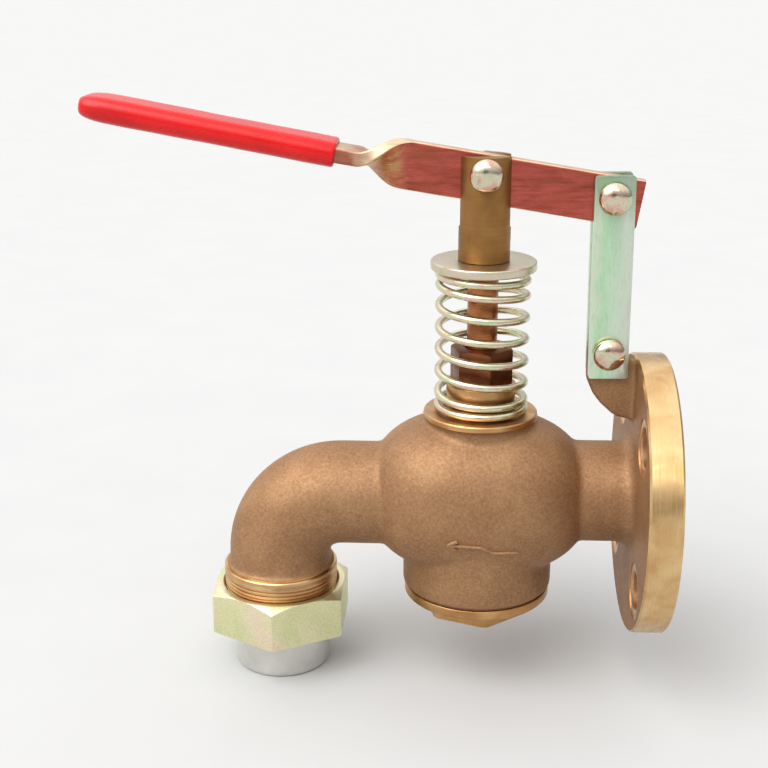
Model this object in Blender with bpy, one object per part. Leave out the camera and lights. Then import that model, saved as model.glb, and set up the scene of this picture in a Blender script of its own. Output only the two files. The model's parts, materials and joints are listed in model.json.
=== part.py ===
"""Self-closing flanged drain valve, 40 mm bore, cast bronze, with a hand lever.

A spring above the bonnet pulls the stem up and holds the disc against the underside of its
seat.  Pressing the red grip down pushes the stem down and opens the valve.  Two links carry
the lever's short end and swing a little to take up its arc.

Frame: the origin is the centre of the inlet flange's mating face.  +X points out of that
face, +Z points up along the stem, and the valve is symmetric about the XZ plane.
Units are metres.
"""

import math

import bmesh
import bpy
from mathutils import Matrix, Vector

MM = 0.001
GAP = 0.3 * MM                      # clearance between pieces that touch

# Inlet flange, 10K 40A pattern
FLANGE_RADIUS = 70.0 * MM
FLANGE_THICKNESS = 16.0 * MM
BOLT_CIRCLE_RADIUS = 52.5 * MM
BOLT_HOLE_RADIUS = 9.5 * MM
SPOT_FACE_RADIUS = 14.0 * MM
SPOT_FACE_DEPTH = 0.8 * MM
BORE_RADIUS = 20.0 * MM
FLANGE_EDGE = 1.0 * MM
NECK_FILLET = 7.0 * MM
LEG_REACH = 30.0 * MM               # how far the neck runs into the globe

# Casting
STEM_X = -91.26 * MM
OUTLET_X = -192.6 * MM
NECK_RADIUS = 25.3 * MM
GLOBE_Z = -2.5 * MM
GLOBE_RADIUS = 56.5 * MM            # half the globe's length along the flow
GLOBE_DEPTH_SHARE = 0.733           # its depth as a share of that length
GLOBE_LOW_HEIGHT = 38.6 * MM        # from its middle down to its lowest point
GLOBE_TOP_HEIGHT = 42.5 * MM
GLOBE_SQUARENESS = 2.4              # exponent of the globe's superellipses
GLOBE_END_RADIUS = 12.0 * MM        # the flat ends of its curve, inside the collar and skirt
CHAMBER_RADIUS = 49.5 * MM
CHAMBER_LOW_HEIGHT = 31.1 * MM
CHAMBER_TOP_HEIGHT = 35.0 * MM
SKIRT_RADIUS = 37.8 * MM
SKIRT_TOP_Z = -14.0 * MM            # inside the globe
SKIRT_BOTTOM_Z = -48.8 * MM
CAP_HOLE_RADIUS = 31.0 * MM
CAP_HOLE_TOP_Z = -26.0 * MM
BONNET_NECK_RADIUS = 26.8 * MM
COLLAR_RADIUS = 28.0 * MM
COLLAR_BOTTOM_Z = 38.5 * MM
COLLAR_TOP_Z = 42.5 * MM
NECK_TOP_Z = 57.0 * MM
GLAND_NECK_RADIUS = 17.0 * MM
ELBOW_TUBE_RADIUS = 26.0 * MM
ELBOW_BEND_RADIUS = 32.0 * MM
ELBOW_AXIS_Z = -3.0 * MM
ELBOW_START_X = -128.0 * MM         # inside the globe's left wall
ELBOW_END_Z = -44.0 * MM            # inside the threaded end
THREAD_RADIUS = 29.0 * MM
THREAD_TOP_Z = -41.8 * MM
THREAD_BOTTOM_Z = -64.0 * MM
THREAD_LEAD = 1.2 * MM
PLATE_TOP_Z = 7.0 * MM
PLATE_BOTTOM_Z = 0.0
PARTITION_OFFSET = 28.0 * MM        # partition walls, left and right of the stem
PARTITION_THICKNESS = 6.0 * MM
SEAT_HOLE_RADIUS = 24.0 * MM

# Stem, from the disc up to the fork
STEM_RADIUS = 7.4 * MM
STEM_THREAD_RADIUS = 5.9 * MM
STEM_SHOULDER_Z = 118.15 * MM
STEM_TOP_Z = 130.0 * MM
STEM_BOTTOM_Z = -20.0 * MM
DISC_TOP_Z = -2.9 * MM
DISC_BOTTOM_Z = -10.0 * MM
DISC_RADIUS = 22.5 * MM
STUFFING_RADIUS = 11.5 * MM
STUFFING_BOTTOM_Z = 40.0 * MM
STEM_BORE_RADIUS = 9.5 * MM
STEM_HUB_RADIUS = 6.0 * MM
DISC_NUT_RADIUS = 10.4 * MM
DISC_NUT_HEIGHT = 7.0 * MM
PACKING_RING_HEIGHT = 3.7 * MM
PACKING_RING_COUNT = 3
FOLLOWER_HEIGHT = 2.2 * MM
BUSH_RADIUS = 9.2 * MM
BUSH_BOTTOM_Z = 32.0 * MM
GLAND_HEX_RADIUS = 15.6 * MM
GLAND_BLANK_RADIUS = 17.0 * MM
GLAND_TOP_RADIUS = 13.6 * MM
GLAND_CHAMFER = 1.6 * MM
GLAND_TOP_Z = 75.0 * MM
GLAND_TURN = math.radians(-75.0)

# Spring and its washer
SPRING_RADIUS = 21.25 * MM          # to the wire's centre
SPRING_WIRE_RADIUS = 1.9 * MM
SPRING_TOP_Z = 113.5 * MM
SPRING_TURNS = 7.8
SPRING_PITCH = 10.9 * MM            # of the open turns
SPRING_START_ANGLE = math.radians(6.0)
WASHER_RADIUS = 25.5 * MM
WASHER_BOTTOM_Z = 113.8 * MM
WASHER_TOP_Z = 118.1 * MM

# Fork head, pins, links and lever
FORK_RADIUS = 12.4 * MM
FORK_TOP_Z = 168.0 * MM
SLOT_BOTTOM_Z = 134.0 * MM
SLOT_HALF_WIDTH = 4.0 * MM
FORK_PIN = Vector((STEM_X, 0.0, 160.2 * MM))
LINK_PIN = Vector((-31.4 * MM, 0.0, 149.2 * MM))
LUG_PIN = Vector((-30.4 * MM, 0.0, 74.0 * MM))
PIN_RADIUS = 5.0 * MM
PIN_HOLE_RADIUS = 5.3 * MM
OPEN_PIVOT_RADIUS = 5.8 * MM        # the lever's slack hole on the links' top pin
PIN_HEAD_RADIUS = 7.8 * MM
PIN_HEAD_HEIGHT = 5.5 * MM
PIN_HEAD_RIM = 1.2 * MM             # straight side under the dome
PIN_TAIL = 8.0 * MM                 # length beyond the pieces that the pin holds
PIN_WASHER_RADIUS = 8.0 * MM
PIN_WASHER_THICKNESS = 1.6 * MM
COTTER_RADIUS = 1.0 * MM
COTTER_EYE_RADIUS = 2.4 * MM
COTTER_OVERHANG = 2.2 * MM          # shank beyond the pin, above and below
COTTER_LEG = 5.0 * MM
LINK_WIDTH = 19.0 * MM
LINK_THICKNESS = 3.5 * MM
LINK_LOW_MARGIN = 12.4 * MM         # from the lug pin to the links' lower end
LINK_HIGH_MARGIN = 10.4 * MM
LINK_CORNER = 1.6 * MM
LUG_THICKNESS = 7.4 * MM
LUG_EYE_RADIUS = 10.0 * MM
LUG_TOP_Z = 71.0 * MM
LEVER_WIDTH = 23.0 * MM
LEVER_THICKNESS = 7.0 * MM
LEVER_SLOPE = math.radians(9.2)
LEVER_EDGE = 1.2 * MM               # rounding of the bar's edges
LEVER_RIGHT_X = -18.7 * MM
LEVER_LEFT_X = -271.0 * MM
LEVER_LINE_X = -43.0 * MM           # a point on the lever's centre line
LEVER_LINE_Z = 149.5 * MM
TWIST_START_X = -125.0 * MM
TWIST_END_X = -152.0 * MM
GRIP_RIGHT_X = -161.5 * MM
GRIP_LEFT_X = -280.0 * MM
GRIP_WIDTH = 27.0 * MM
GRIP_THICKNESS = 12.0 * MM
GRIP_SLOPE = math.radians(10.5)

# Bottom cap
CAP_RING_RADIUS = 37.0 * MM
CAP_RING_TOP_Z = -50.4 * MM
CAP_RING_BOTTOM_Z = -55.5 * MM
CAP_RING_EDGE = 0.8 * MM
CAP_HEX_RADIUS = 27.75 * MM
CAP_BOTTOM_Z = -64.5 * MM
CAP_SPIGOT_TOP_Z = -38.5 * MM
CAP_POCKET_RADIUS = 23.0 * MM
CAP_POCKET_BOTTOM_Z = -52.0 * MM
CAP_HEX_TURN = math.radians(-81.0)

# Outlet union
NUT_RADIUS = 38.0 * MM
NUT_TOP_Z = -52.0 * MM
NUT_BOTTOM_Z = -75.0 * MM
NUT_SHOULDER_Z = -71.6 * MM
NUT_TURN = math.radians(-91.0)
TAIL_RADIUS = 24.6 * MM
TAIL_FLANGE_RADIUS = 28.4 * MM
TAIL_FLANGE_TOP_Z = -66.6 * MM
TAIL_BOTTOM_Z = -96.9 * MM
UNION_GASKET_TOP_Z = -64.3 * MM
GASKET_INSET = 0.6 * MM             # gaskets end a little inside their flanges

ROUND = 36                          # segments of the larger round pieces
CORNER_STEPS = 2                    # facets of a rounded bar corner
SMALL_ROUND = 16                    # segments of pins and small holes


# ---------------------------------------------------------------- helpers

def make_material(name, colour, roughness, metallic):
    """Principled material with the piece's colour, roughness and metallic value."""
    material = bpy.data.materials.new(name)
    material.use_nodes = True
    shader = material.node_tree.nodes["Principled BSDF"]
    shader.inputs["Base Color"].default_value = (*colour, 1.0)
    shader.inputs["Roughness"].default_value = roughness
    shader.inputs["Metallic"].default_value = metallic
    material.diffuse_color = (*colour, 1.0)
    return material


def make_object(name, mesh_builder, material=None, parent=None):
    """Turn a bmesh into a named object in world coordinates."""
    bmesh.ops.remove_doubles(mesh_builder, verts=mesh_builder.verts, dist=0.01 * MM)
    bmesh.ops.recalc_face_normals(mesh_builder, faces=mesh_builder.faces)
    mesh = bpy.data.meshes.new(name)
    mesh_builder.to_mesh(mesh)
    mesh_builder.free()
    mesh.shade_smooth()
    mesh.set_sharp_from_angle(angle=math.radians(35.0))
    if material:
        mesh.materials.append(material)
    piece = bpy.data.objects.new(name, mesh)
    bpy.context.collection.objects.link(piece)
    if parent:
        hang_on(piece, parent)
    return piece


def hang_on(piece, parent):
    """Parent a piece to an empty without moving the piece."""
    piece.parent = parent
    piece.matrix_parent_inverse = Matrix.Translation(-parent.location)


def make_pivot(name, location):
    """Empty on a joint's axis."""
    pivot = bpy.data.objects.new(name, None)
    pivot.location = location
    pivot.empty_display_size = 0.01
    bpy.context.collection.objects.link(pivot)
    return pivot


def turned(profile, centre, segments=ROUND, axis="Z", turn=0.0):
    """Solid of revolution from (radius, height) points.

    A profile that starts and ends on the axis makes a solid piece; any other profile is
    closed on itself and makes a ring.
    """
    builder = bmesh.new()
    place = Matrix.Translation(centre)
    if axis == "X":
        place = place @ Matrix.Rotation(math.radians(90.0), 4, "Y")
    elif axis == "Y":
        place = place @ Matrix.Rotation(math.radians(90.0), 4, "X")
    rings = []
    for radius, height in profile:
        if radius == 0.0:
            rings.append([builder.verts.new(place @ Vector((0.0, 0.0, height)))] * segments)
            continue
        ring = []
        for step in range(segments):
            angle = turn + step * math.tau / segments
            point = Vector((radius * math.cos(angle), radius * math.sin(angle), height))
            ring.append(builder.verts.new(place @ point))
        rings.append(ring)
    closed = profile[0][0] != 0.0
    count = len(rings)
    for index in range(count if closed else count - 1):
        lower = rings[index]
        upper = rings[(index + 1) % count]
        for step in range(segments):
            following = (step + 1) % segments
            corners = [lower[step], lower[following], upper[following], upper[step]]
            builder.faces.new(list(dict.fromkeys(corners)))
    return builder


def rod(radius, bottom, top, centre, segments=SMALL_ROUND, axis="Z", turn=0.0):
    """Plain round bar."""
    profile = [(0.0, bottom), (radius, bottom), (radius, top), (0.0, top)]
    return turned(profile, centre, segments, axis, turn)


def ring(outer, inner, bottom, top, centre, segments=ROUND, axis="Z"):
    """Plain ring."""
    profile = [(outer, bottom), (outer, top), (inner, top), (inner, bottom)]
    return turned(profile, centre, segments, axis)


def plate(outline, half_thickness):
    """Flat piece in the XZ plane, centred on y = 0, from (x, z) points."""
    builder = bmesh.new()
    front = [builder.verts.new((x, -half_thickness, z)) for x, z in outline]
    back = [builder.verts.new((x, half_thickness, z)) for x, z in outline]
    builder.faces.new(front)
    builder.faces.new(back)
    count = len(outline)
    for index in range(count):
        following = (index + 1) % count
        builder.faces.new([front[index], front[following], back[following], back[index]])
    return builder


def block(low, high):
    """Box between two corners."""
    builder = bmesh.new()
    bmesh.ops.create_cube(builder, size=1.0)
    middle = (Vector(low) + Vector(high)) / 2.0
    size = Vector(high) - Vector(low)
    for vertex in builder.verts:
        vertex.co = Vector(co * s for co, s in zip(vertex.co, size)) + middle
    return builder


def swept(sections):
    """Solid through a list of closed sections with equal point counts, capped at its ends."""
    builder = bmesh.new()
    rings = [[builder.verts.new(point) for point in section] for section in sections]
    count = len(rings[0])
    for lower, upper in zip(rings, rings[1:]):
        for step in range(count):
            following = (step + 1) % count
            builder.faces.new([lower[step], lower[following], upper[following], upper[step]])
    builder.faces.new(rings[0])
    builder.faces.new(rings[-1])
    return builder


def combine(target, builder, operation):
    """Boolean a solid into the target and keep the result as the target's mesh.

    The casting has many crossing facets that leave slits under the exact solver, so it
    alone uses the manifold one.
    """
    tool = make_object("tool", builder)
    modifier = target.modifiers.new(operation.title(), "BOOLEAN")
    modifier.operation = operation
    modifier.solver = "MANIFOLD" if target.name == "body" else "EXACT"
    modifier.object = tool
    bpy.context.view_layer.update()
    evaluated = target.evaluated_get(bpy.context.evaluated_depsgraph_get())
    mesh = bpy.data.meshes.new_from_object(evaluated)
    target.modifiers.clear()
    spent = target.data
    target.data = mesh
    bpy.data.meshes.remove(spent)
    mesh.name = target.name
    bpy.data.objects.remove(tool)


def cut(target, builder):
    combine(target, builder, "DIFFERENCE")


def join(target, builder):
    combine(target, builder, "UNION")


def keep_common(target, builder):
    combine(target, builder, "INTERSECT")


def arc(centre, radius, start, end, steps):
    """Points of a circular arc, angles in degrees."""
    points = []
    for step in range(steps + 1):
        angle = math.radians(start + (end - start) * step / steps)
        points.append((centre[0] + radius * math.cos(angle), centre[1] + radius * math.sin(angle)))
    return points


# ---------------------------------------------------------------- casting

def globe_profile(radius, low_height, top_height, steps):
    """Superellipse between two flat ends; the lower half may be shallower than the upper."""
    share = (GLOBE_END_RADIUS / radius) ** GLOBE_SQUARENESS
    rise = (1.0 - share) ** (1.0 / GLOBE_SQUARENESS)
    start = math.atan2(-low_height * rise, GLOBE_END_RADIUS)
    end = math.atan2(top_height * rise, GLOBE_END_RADIUS)
    points = [(0.0, GLOBE_Z - low_height)]
    for step in range(steps + 1):
        angle = start + (end - start) * step / steps
        cosine = math.cos(angle)
        sine = math.sin(angle)
        half_height = low_height if sine < 0.0 else top_height
        power = (abs(cosine) / radius) ** GLOBE_SQUARENESS
        power += (abs(sine) / half_height) ** GLOBE_SQUARENESS
        reach = power ** (-1.0 / GLOBE_SQUARENESS)
        points.append((reach * cosine, GLOBE_Z + reach * sine))
    points.append((0.0, GLOBE_Z + top_height))
    return points


def globe_solid(radius, low_height, top_height, steps, segments):
    """Globe whose plan is a superellipse too: longer along the flow than across it."""
    profile = globe_profile(radius, low_height, top_height, steps)
    builder = turned(profile, (STEM_X, 0.0, 0.0), segments)
    for vertex in builder.verts:
        x = vertex.co.x - STEM_X
        y = vertex.co.y
        distance = math.hypot(x, y)
        if distance > 0.0:
            power = (abs(x) / distance) ** GLOBE_SQUARENESS
            power += (abs(y) / (distance * GLOBE_DEPTH_SHARE)) ** GLOBE_SQUARENESS
            share = power ** (-1.0 / GLOBE_SQUARENESS)
            vertex.co.x = STEM_X + x * share
            vertex.co.y = y * share
    return builder


def elbow_sections(radius, start_x, end_z, segments):
    """Round sections from the globe, around the bend and down the outlet leg."""
    centre_x = OUTLET_X + ELBOW_BEND_RADIUS
    centre_z = ELBOW_AXIS_Z - ELBOW_BEND_RADIUS
    route = [(start_x, ELBOW_AXIS_Z, 0.0)]
    bend_steps = 8
    for step in range(bend_steps + 1):
        angle = math.radians(90.0 * step / bend_steps)
        x = centre_x - ELBOW_BEND_RADIUS * math.sin(angle)
        z = centre_z + ELBOW_BEND_RADIUS * math.cos(angle)
        route.append((x, z, angle))
    route.append((OUTLET_X, end_z, math.radians(90.0)))
    sections = []
    for x, z, angle in route:
        outward = Vector((-math.sin(angle), 0.0, math.cos(angle)))
        section = []
        for step in range(segments):
            around = step * math.tau / segments
            offset = outward * math.cos(around) + Vector((0.0, math.sin(around), 0.0))
            section.append(Vector((x, 0.0, z)) + offset * radius)
        sections.append(section)
    return sections


def bolt_centres():
    """Centres of the four flange holes, on the diagonals."""
    for quarter in range(4):
        angle = math.radians(45.0 + 90.0 * quarter)
        yield Vector((0.0, math.cos(angle), math.sin(angle))) * BOLT_CIRCLE_RADIUS


def flange_and_neck(body):
    back = -FLANGE_THICKNESS
    neck_end = STEM_X + LEG_REACH
    profile = [(0.0, 0.0), (FLANGE_RADIUS - FLANGE_EDGE, 0.0), (FLANGE_RADIUS, -FLANGE_EDGE)]
    profile += [(FLANGE_RADIUS, back + FLANGE_EDGE), (FLANGE_RADIUS - FLANGE_EDGE, back)]
    profile += arc((NECK_RADIUS + NECK_FILLET, back - NECK_FILLET), NECK_FILLET, 90.0, 180.0, 3)
    profile += [(NECK_RADIUS, neck_end), (0.0, neck_end)]
    join(body, turned(profile, (0.0, 0.0, 0.0), ROUND, "X"))


def outlet_elbow(body):
    join(body, swept(elbow_sections(ELBOW_TUBE_RADIUS, ELBOW_START_X, ELBOW_END_Z, 28)))
    profile = [
        (0.0, THREAD_BOTTOM_Z),
        (THREAD_RADIUS - THREAD_LEAD, THREAD_BOTTOM_Z),
        (THREAD_RADIUS, THREAD_BOTTOM_Z + THREAD_LEAD),
        (THREAD_RADIUS, THREAD_TOP_Z - THREAD_LEAD),
        (THREAD_RADIUS - THREAD_LEAD, THREAD_TOP_Z),
        (0.0, THREAD_TOP_Z),
    ]
    join(body, turned(profile, (OUTLET_X, 0.0, 0.0)))


def lug(body):
    """Ear on the flange's back that carries the links' lower pin."""
    inside = -FLANGE_THICKNESS + 3.0 * MM
    start = math.degrees(math.asin((LUG_TOP_Z - LUG_PIN.z) / LUG_EYE_RADIUS))
    outline = [(inside, LUG_TOP_Z)]
    outline += arc((LUG_PIN.x, LUG_PIN.z), LUG_EYE_RADIUS, start, 180.0, 10)
    outline += [(-40.0 * MM, 60.0 * MM), (-36.6 * MM, 52.2 * MM), (-32.5 * MM, 47.0 * MM)]
    outline += [(-25.7 * MM, 41.0 * MM), (inside, 37.5 * MM)]
    join(body, plate(outline, LUG_THICKNESS / 2.0))
    hole = rod(PIN_HOLE_RADIUS, -LUG_THICKNESS, LUG_THICKNESS, LUG_PIN, SMALL_ROUND, "Y")
    cut(body, hole)


def chamber_part(boxes):
    """The part of the inner chamber that lies in one of the given boxes."""
    solid = globe_solid(CHAMBER_RADIUS, CHAMBER_LOW_HEIGHT, CHAMBER_TOP_HEIGHT, 8, 24)
    chamber = make_object("chamber", solid)
    region = make_object("region", block(*boxes[0]))
    for box in boxes[1:]:
        join(region, block(*box))
    builder = bmesh.new()
    builder.from_mesh(region.data)
    keep_common(chamber, builder)
    result = bmesh.new()
    result.from_mesh(chamber.data)
    bpy.data.objects.remove(region)
    bpy.data.objects.remove(chamber)
    return result


def hollow_out(body):
    """Waterway: inlet under the seat plate, outlet from above it, and the stem's bores."""
    wide = 80.0 * MM                # beyond the globe on every side
    less = wide - MM
    far_left = STEM_X - wide
    far_right = STEM_X + wide
    left_wall = STEM_X - PARTITION_OFFSET
    right_wall = STEM_X + PARTITION_OFFSET
    left_face = left_wall - PARTITION_THICKNESS
    right_face = right_wall + PARTITION_THICKNESS
    upper = [
        ((far_left, -wide, PLATE_TOP_Z), (right_wall, wide, wide)),
        ((far_left - MM, -wide, -wide), (left_face, wide, less)),
    ]
    lower = [
        ((left_wall, -wide, -wide), (far_right, wide, PLATE_BOTTOM_Z)),
        ((right_face, -less, -less), (far_right - MM, less, wide)),
    ]
    cut(body, chamber_part(upper))
    cut(body, chamber_part(lower))
    reach = 5.0 * MM                # how far each bore's cutter runs past the metal
    inlet_end = right_face + 3.0 * MM
    cut(body, rod(BORE_RADIUS, inlet_end, reach, (0.0, 0.0, 0.0), 20, "X"))
    outlet_end = THREAD_BOTTOM_Z - reach
    cut(body, swept(elbow_sections(BORE_RADIUS, ELBOW_START_X - MM, outlet_end, SMALL_ROUND)))
    centre = (STEM_X, 0.0, 0.0)
    cut(body, rod(CAP_HOLE_RADIUS, SKIRT_BOTTOM_Z - reach, CAP_HOLE_TOP_Z, centre, ROUND))
    cut(body, rod(SEAT_HOLE_RADIUS, PLATE_BOTTOM_Z - reach, PLATE_TOP_Z + reach, centre, ROUND))
    cut(body, rod(STEM_BORE_RADIUS, 25.0 * MM, STUFFING_BOTTOM_Z + reach, centre))
    cut(body, rod(STUFFING_RADIUS, STUFFING_BOTTOM_Z, NECK_TOP_Z + reach, centre, 24))


def drill_flange(body):
    back = -FLANGE_THICKNESS
    start = back - NECK_FILLET - MM
    for centre in bolt_centres():
        cut(body, rod(BOLT_HOLE_RADIUS, start, 4.0 * MM, centre, SMALL_ROUND, "X"))
        face = back + SPOT_FACE_DEPTH
        cut(body, rod(SPOT_FACE_RADIUS, start, face, centre, SMALL_ROUND, "X"))


def build_body():
    bronze = make_material("body", (0.40, 0.20, 0.09), 0.45, 1.0)
    edge = 0.6 * MM
    profile = [(0.0, SKIRT_BOTTOM_Z), (SKIRT_RADIUS - edge, SKIRT_BOTTOM_Z)]
    profile += [(SKIRT_RADIUS, SKIRT_BOTTOM_Z + edge), (SKIRT_RADIUS, SKIRT_TOP_Z)]
    profile += [(BONNET_NECK_RADIUS, 0.0), (BONNET_NECK_RADIUS, COLLAR_BOTTOM_Z)]
    profile += [(COLLAR_RADIUS, COLLAR_BOTTOM_Z), (COLLAR_RADIUS, COLLAR_TOP_Z - edge)]
    profile += [(COLLAR_RADIUS - edge, COLLAR_TOP_Z), (GLAND_NECK_RADIUS, COLLAR_TOP_Z)]
    profile += [(GLAND_NECK_RADIUS, NECK_TOP_Z), (0.0, NECK_TOP_Z)]
    body = make_object("body", turned(profile, (STEM_X, 0.0, 0.0)), bronze)
    join(body, globe_solid(GLOBE_RADIUS, GLOBE_LOW_HEIGHT, GLOBE_TOP_HEIGHT, 16, ROUND))
    flange_and_neck(body)
    outlet_elbow(body)
    hollow_out(body)
    lug(body)
    drill_flange(body)
    body.data.set_sharp_from_angle(angle=math.radians(35.0))
    return body


# ---------------------------------------------------------------- valve trim

def build_seat_ring():
    material = make_material("seat_ring", (0.62, 0.42, 0.20), 0.3, 1.0)
    outer = SEAT_HOLE_RADIUS - GAP
    face = DISC_TOP_Z + GAP
    profile = [(outer, PLATE_TOP_Z), (outer - 4.7 * MM, PLATE_TOP_Z), (outer - 4.7 * MM, face)]
    profile += [(outer - 1.8 * MM, face), (outer, face + 1.5 * MM)]
    make_object("seat_ring", turned(profile, (STEM_X, 0.0, 0.0)), material)


def build_stem(pivot):
    material = make_material("stem", (0.55, 0.30, 0.15), 0.28, 1.0)
    hub = STEM_HUB_RADIUS
    profile = [
        (0.0, STEM_BOTTOM_Z),
        (hub - MM, STEM_BOTTOM_Z),
        (hub, STEM_BOTTOM_Z + MM),
        (hub, DISC_TOP_Z + 0.2 * MM),
        (STEM_RADIUS, DISC_TOP_Z + 0.2 * MM),
        (STEM_RADIUS, STEM_SHOULDER_Z),
        (STEM_THREAD_RADIUS, STEM_SHOULDER_Z),
        (STEM_THREAD_RADIUS, STEM_TOP_Z - MM),
        (STEM_THREAD_RADIUS - MM, STEM_TOP_Z),
        (0.0, STEM_TOP_Z),
    ]
    centre = (STEM_X, 0.0, 0.0)
    make_object("stem", turned(profile, centre, 24), material, pivot)
    disc_material = make_material("valve_disc", (0.62, 0.42, 0.20), 0.32, 1.0)
    disc = [
        (DISC_RADIUS - MM, DISC_TOP_Z),
        (hub + GAP, DISC_TOP_Z),
        (hub + GAP, DISC_BOTTOM_Z),
        (DISC_RADIUS - 2.0 * MM, DISC_BOTTOM_Z),
        (DISC_RADIUS, DISC_BOTTOM_Z + 2.0 * MM),
        (DISC_RADIUS, DISC_TOP_Z - MM),
    ]
    make_object("valve_disc", turned(disc, centre), disc_material, pivot)
    nut_material = make_material("disc_nut", (0.60, 0.45, 0.22), 0.35, 1.0)
    nut_top = DISC_BOTTOM_Z - GAP
    nut = rod(DISC_NUT_RADIUS, nut_top - DISC_NUT_HEIGHT, nut_top, centre, 6)
    disc_nut = make_object("disc_nut", nut, nut_material, pivot)
    cut(disc_nut, rod(hub + GAP, STEM_BOTTOM_Z, 0.0, centre, SMALL_ROUND))


def build_gland():
    centre = (STEM_X, 0.0, 0.0)
    bronze = make_material("gland_nut", (0.50, 0.27, 0.13), 0.35, 1.0)
    bush_material = make_material("stem_bush", (0.62, 0.42, 0.20), 0.3, 1.0)
    bore = STEM_RADIUS + GAP
    bush = ring(BUSH_RADIUS, bore, BUSH_BOTTOM_Z, STUFFING_BOTTOM_Z - GAP, centre, 24)
    make_object("stem_bush", bush, bush_material)
    packing_material = make_material("packing", (0.10, 0.10, 0.10), 0.8, 0.0)
    level = STUFFING_BOTTOM_Z + GAP
    outer = STUFFING_RADIUS - GAP
    for number in range(1, PACKING_RING_COUNT + 1):
        packing = ring(outer, bore, level, level + PACKING_RING_HEIGHT, centre, 24)
        make_object(f"packing_ring_{number}", packing, packing_material)
        level += PACKING_RING_HEIGHT + GAP
    follower_material = make_material("gland_follower", (0.55, 0.38, 0.18), 0.35, 1.0)
    follower_top = level + FOLLOWER_HEIGHT
    follower = ring(outer, bore, level, follower_top, centre, 24)
    make_object("gland_follower", follower, follower_material)
    head_bottom = NECK_TOP_Z + GAP
    profile = [
        (outer, follower_top + GAP),
        (outer, head_bottom),
        (GLAND_BLANK_RADIUS, head_bottom),
        (GLAND_BLANK_RADIUS, GLAND_TOP_Z - GLAND_CHAMFER),
        (GLAND_TOP_RADIUS, GLAND_TOP_Z),
        (bore, GLAND_TOP_Z),
        (bore, follower_top + GAP),
    ]
    gland = make_object("gland_nut", turned(profile, centre, 36), bronze)
    bar = rod(GLAND_HEX_RADIUS, follower_top, GLAND_TOP_Z + MM, centre, 6, "Z", GLAND_TURN)
    keep_common(gland, bar)


# ---------------------------------------------------------------- spring

def spring_height(turns_done, bottom, top):
    """Wire centre's height: closed turns at both ends and an even pitch between them."""
    wire = 2.0 * SPRING_WIRE_RADIUS + GAP
    open_low = bottom + 1.3 * wire
    open_turns = (top - 1.3 * wire - open_low) / SPRING_PITCH
    rest = (SPRING_TURNS - open_turns) / 2.0
    stations = [
        (0.0, bottom),
        (0.45, bottom + 0.1 * wire),
        (1.0, bottom + wire),
        (rest, open_low),
        (SPRING_TURNS - rest, top - 1.3 * wire),
        (SPRING_TURNS - 1.0, top - wire),
        (SPRING_TURNS - 0.45, top - 0.1 * wire),
        (SPRING_TURNS, top),
    ]
    for (turns, height), (next_turns, next_height) in zip(stations, stations[1:]):
        if turns_done <= next_turns:
            share = (turns_done - turns) / (next_turns - turns)
            return height + (next_height - height) * share
    return top


def build_spring():
    material = make_material("spring", (0.74, 0.72, 0.52), 0.25, 1.0)
    bottom = COLLAR_TOP_Z + GAP + SPRING_WIRE_RADIUS
    top = SPRING_TOP_Z - SPRING_WIRE_RADIUS
    steps_per_turn = 18
    steps = int(SPRING_TURNS * steps_per_turn)
    wire_sides = 6
    sections = []
    for step in range(steps + 1):
        done = SPRING_TURNS * step / steps
        angle = SPRING_START_ANGLE - done * math.tau
        outward = Vector((math.cos(angle), math.sin(angle), 0.0))
        height = spring_height(done, bottom, top)
        centre = Vector((STEM_X, 0.0, height)) + outward * SPRING_RADIUS
        section = []
        for side in range(wire_sides):
            around = side * math.tau / wire_sides
            offset = outward * math.cos(around) + Vector((0.0, 0.0, math.sin(around)))
            section.append(centre + offset * SPRING_WIRE_RADIUS)
        sections.append(section)
    make_object("spring", swept(sections), material)


def build_spring_washer(pivot):
    material = make_material("spring_washer", (0.70, 0.66, 0.52), 0.3, 1.0)
    edge = 0.7 * MM
    bore = STEM_RADIUS + GAP
    profile = [
        (bore, WASHER_BOTTOM_Z),
        (WASHER_RADIUS - edge, WASHER_BOTTOM_Z),
        (WASHER_RADIUS, WASHER_BOTTOM_Z + edge),
        (WASHER_RADIUS, WASHER_TOP_Z - edge),
        (WASHER_RADIUS - edge, WASHER_TOP_Z),
        (bore, WASHER_TOP_Z),
    ]
    make_object("spring_washer", turned(profile, (STEM_X, 0.0, 0.0)), material, pivot)


# ---------------------------------------------------------------- lever gear

def build_fork_head(pivot):
    material = make_material("fork_head", (0.36, 0.20, 0.08), 0.35, 1.0)
    bottom = WASHER_TOP_Z + GAP
    edge = 0.8 * MM
    profile = [
        (0.0, bottom),
        (FORK_RADIUS - edge, bottom),
        (FORK_RADIUS, bottom + edge),
        (FORK_RADIUS, FORK_TOP_Z - edge),
        (FORK_RADIUS - edge, FORK_TOP_Z),
        (0.0, FORK_TOP_Z),
    ]
    centre = (STEM_X, 0.0, 0.0)
    fork = make_object("fork_head", turned(profile, centre, 36), material, pivot)
    reach = FORK_RADIUS + 5.0 * MM
    slot_low = (STEM_X - reach, -SLOT_HALF_WIDTH, SLOT_BOTTOM_Z)
    slot_high = (STEM_X + reach, SLOT_HALF_WIDTH, FORK_TOP_Z + 5.0 * MM)
    cut(fork, block(slot_low, slot_high))
    cut(fork, rod(PIN_HOLE_RADIUS, -reach, reach, FORK_PIN, SMALL_ROUND, "Y"))
    thread_top = STEM_TOP_Z + 0.5 * MM
    cut(fork, rod(STEM_THREAD_RADIUS + GAP, bottom - MM, thread_top, centre, SMALL_ROUND))


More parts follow.
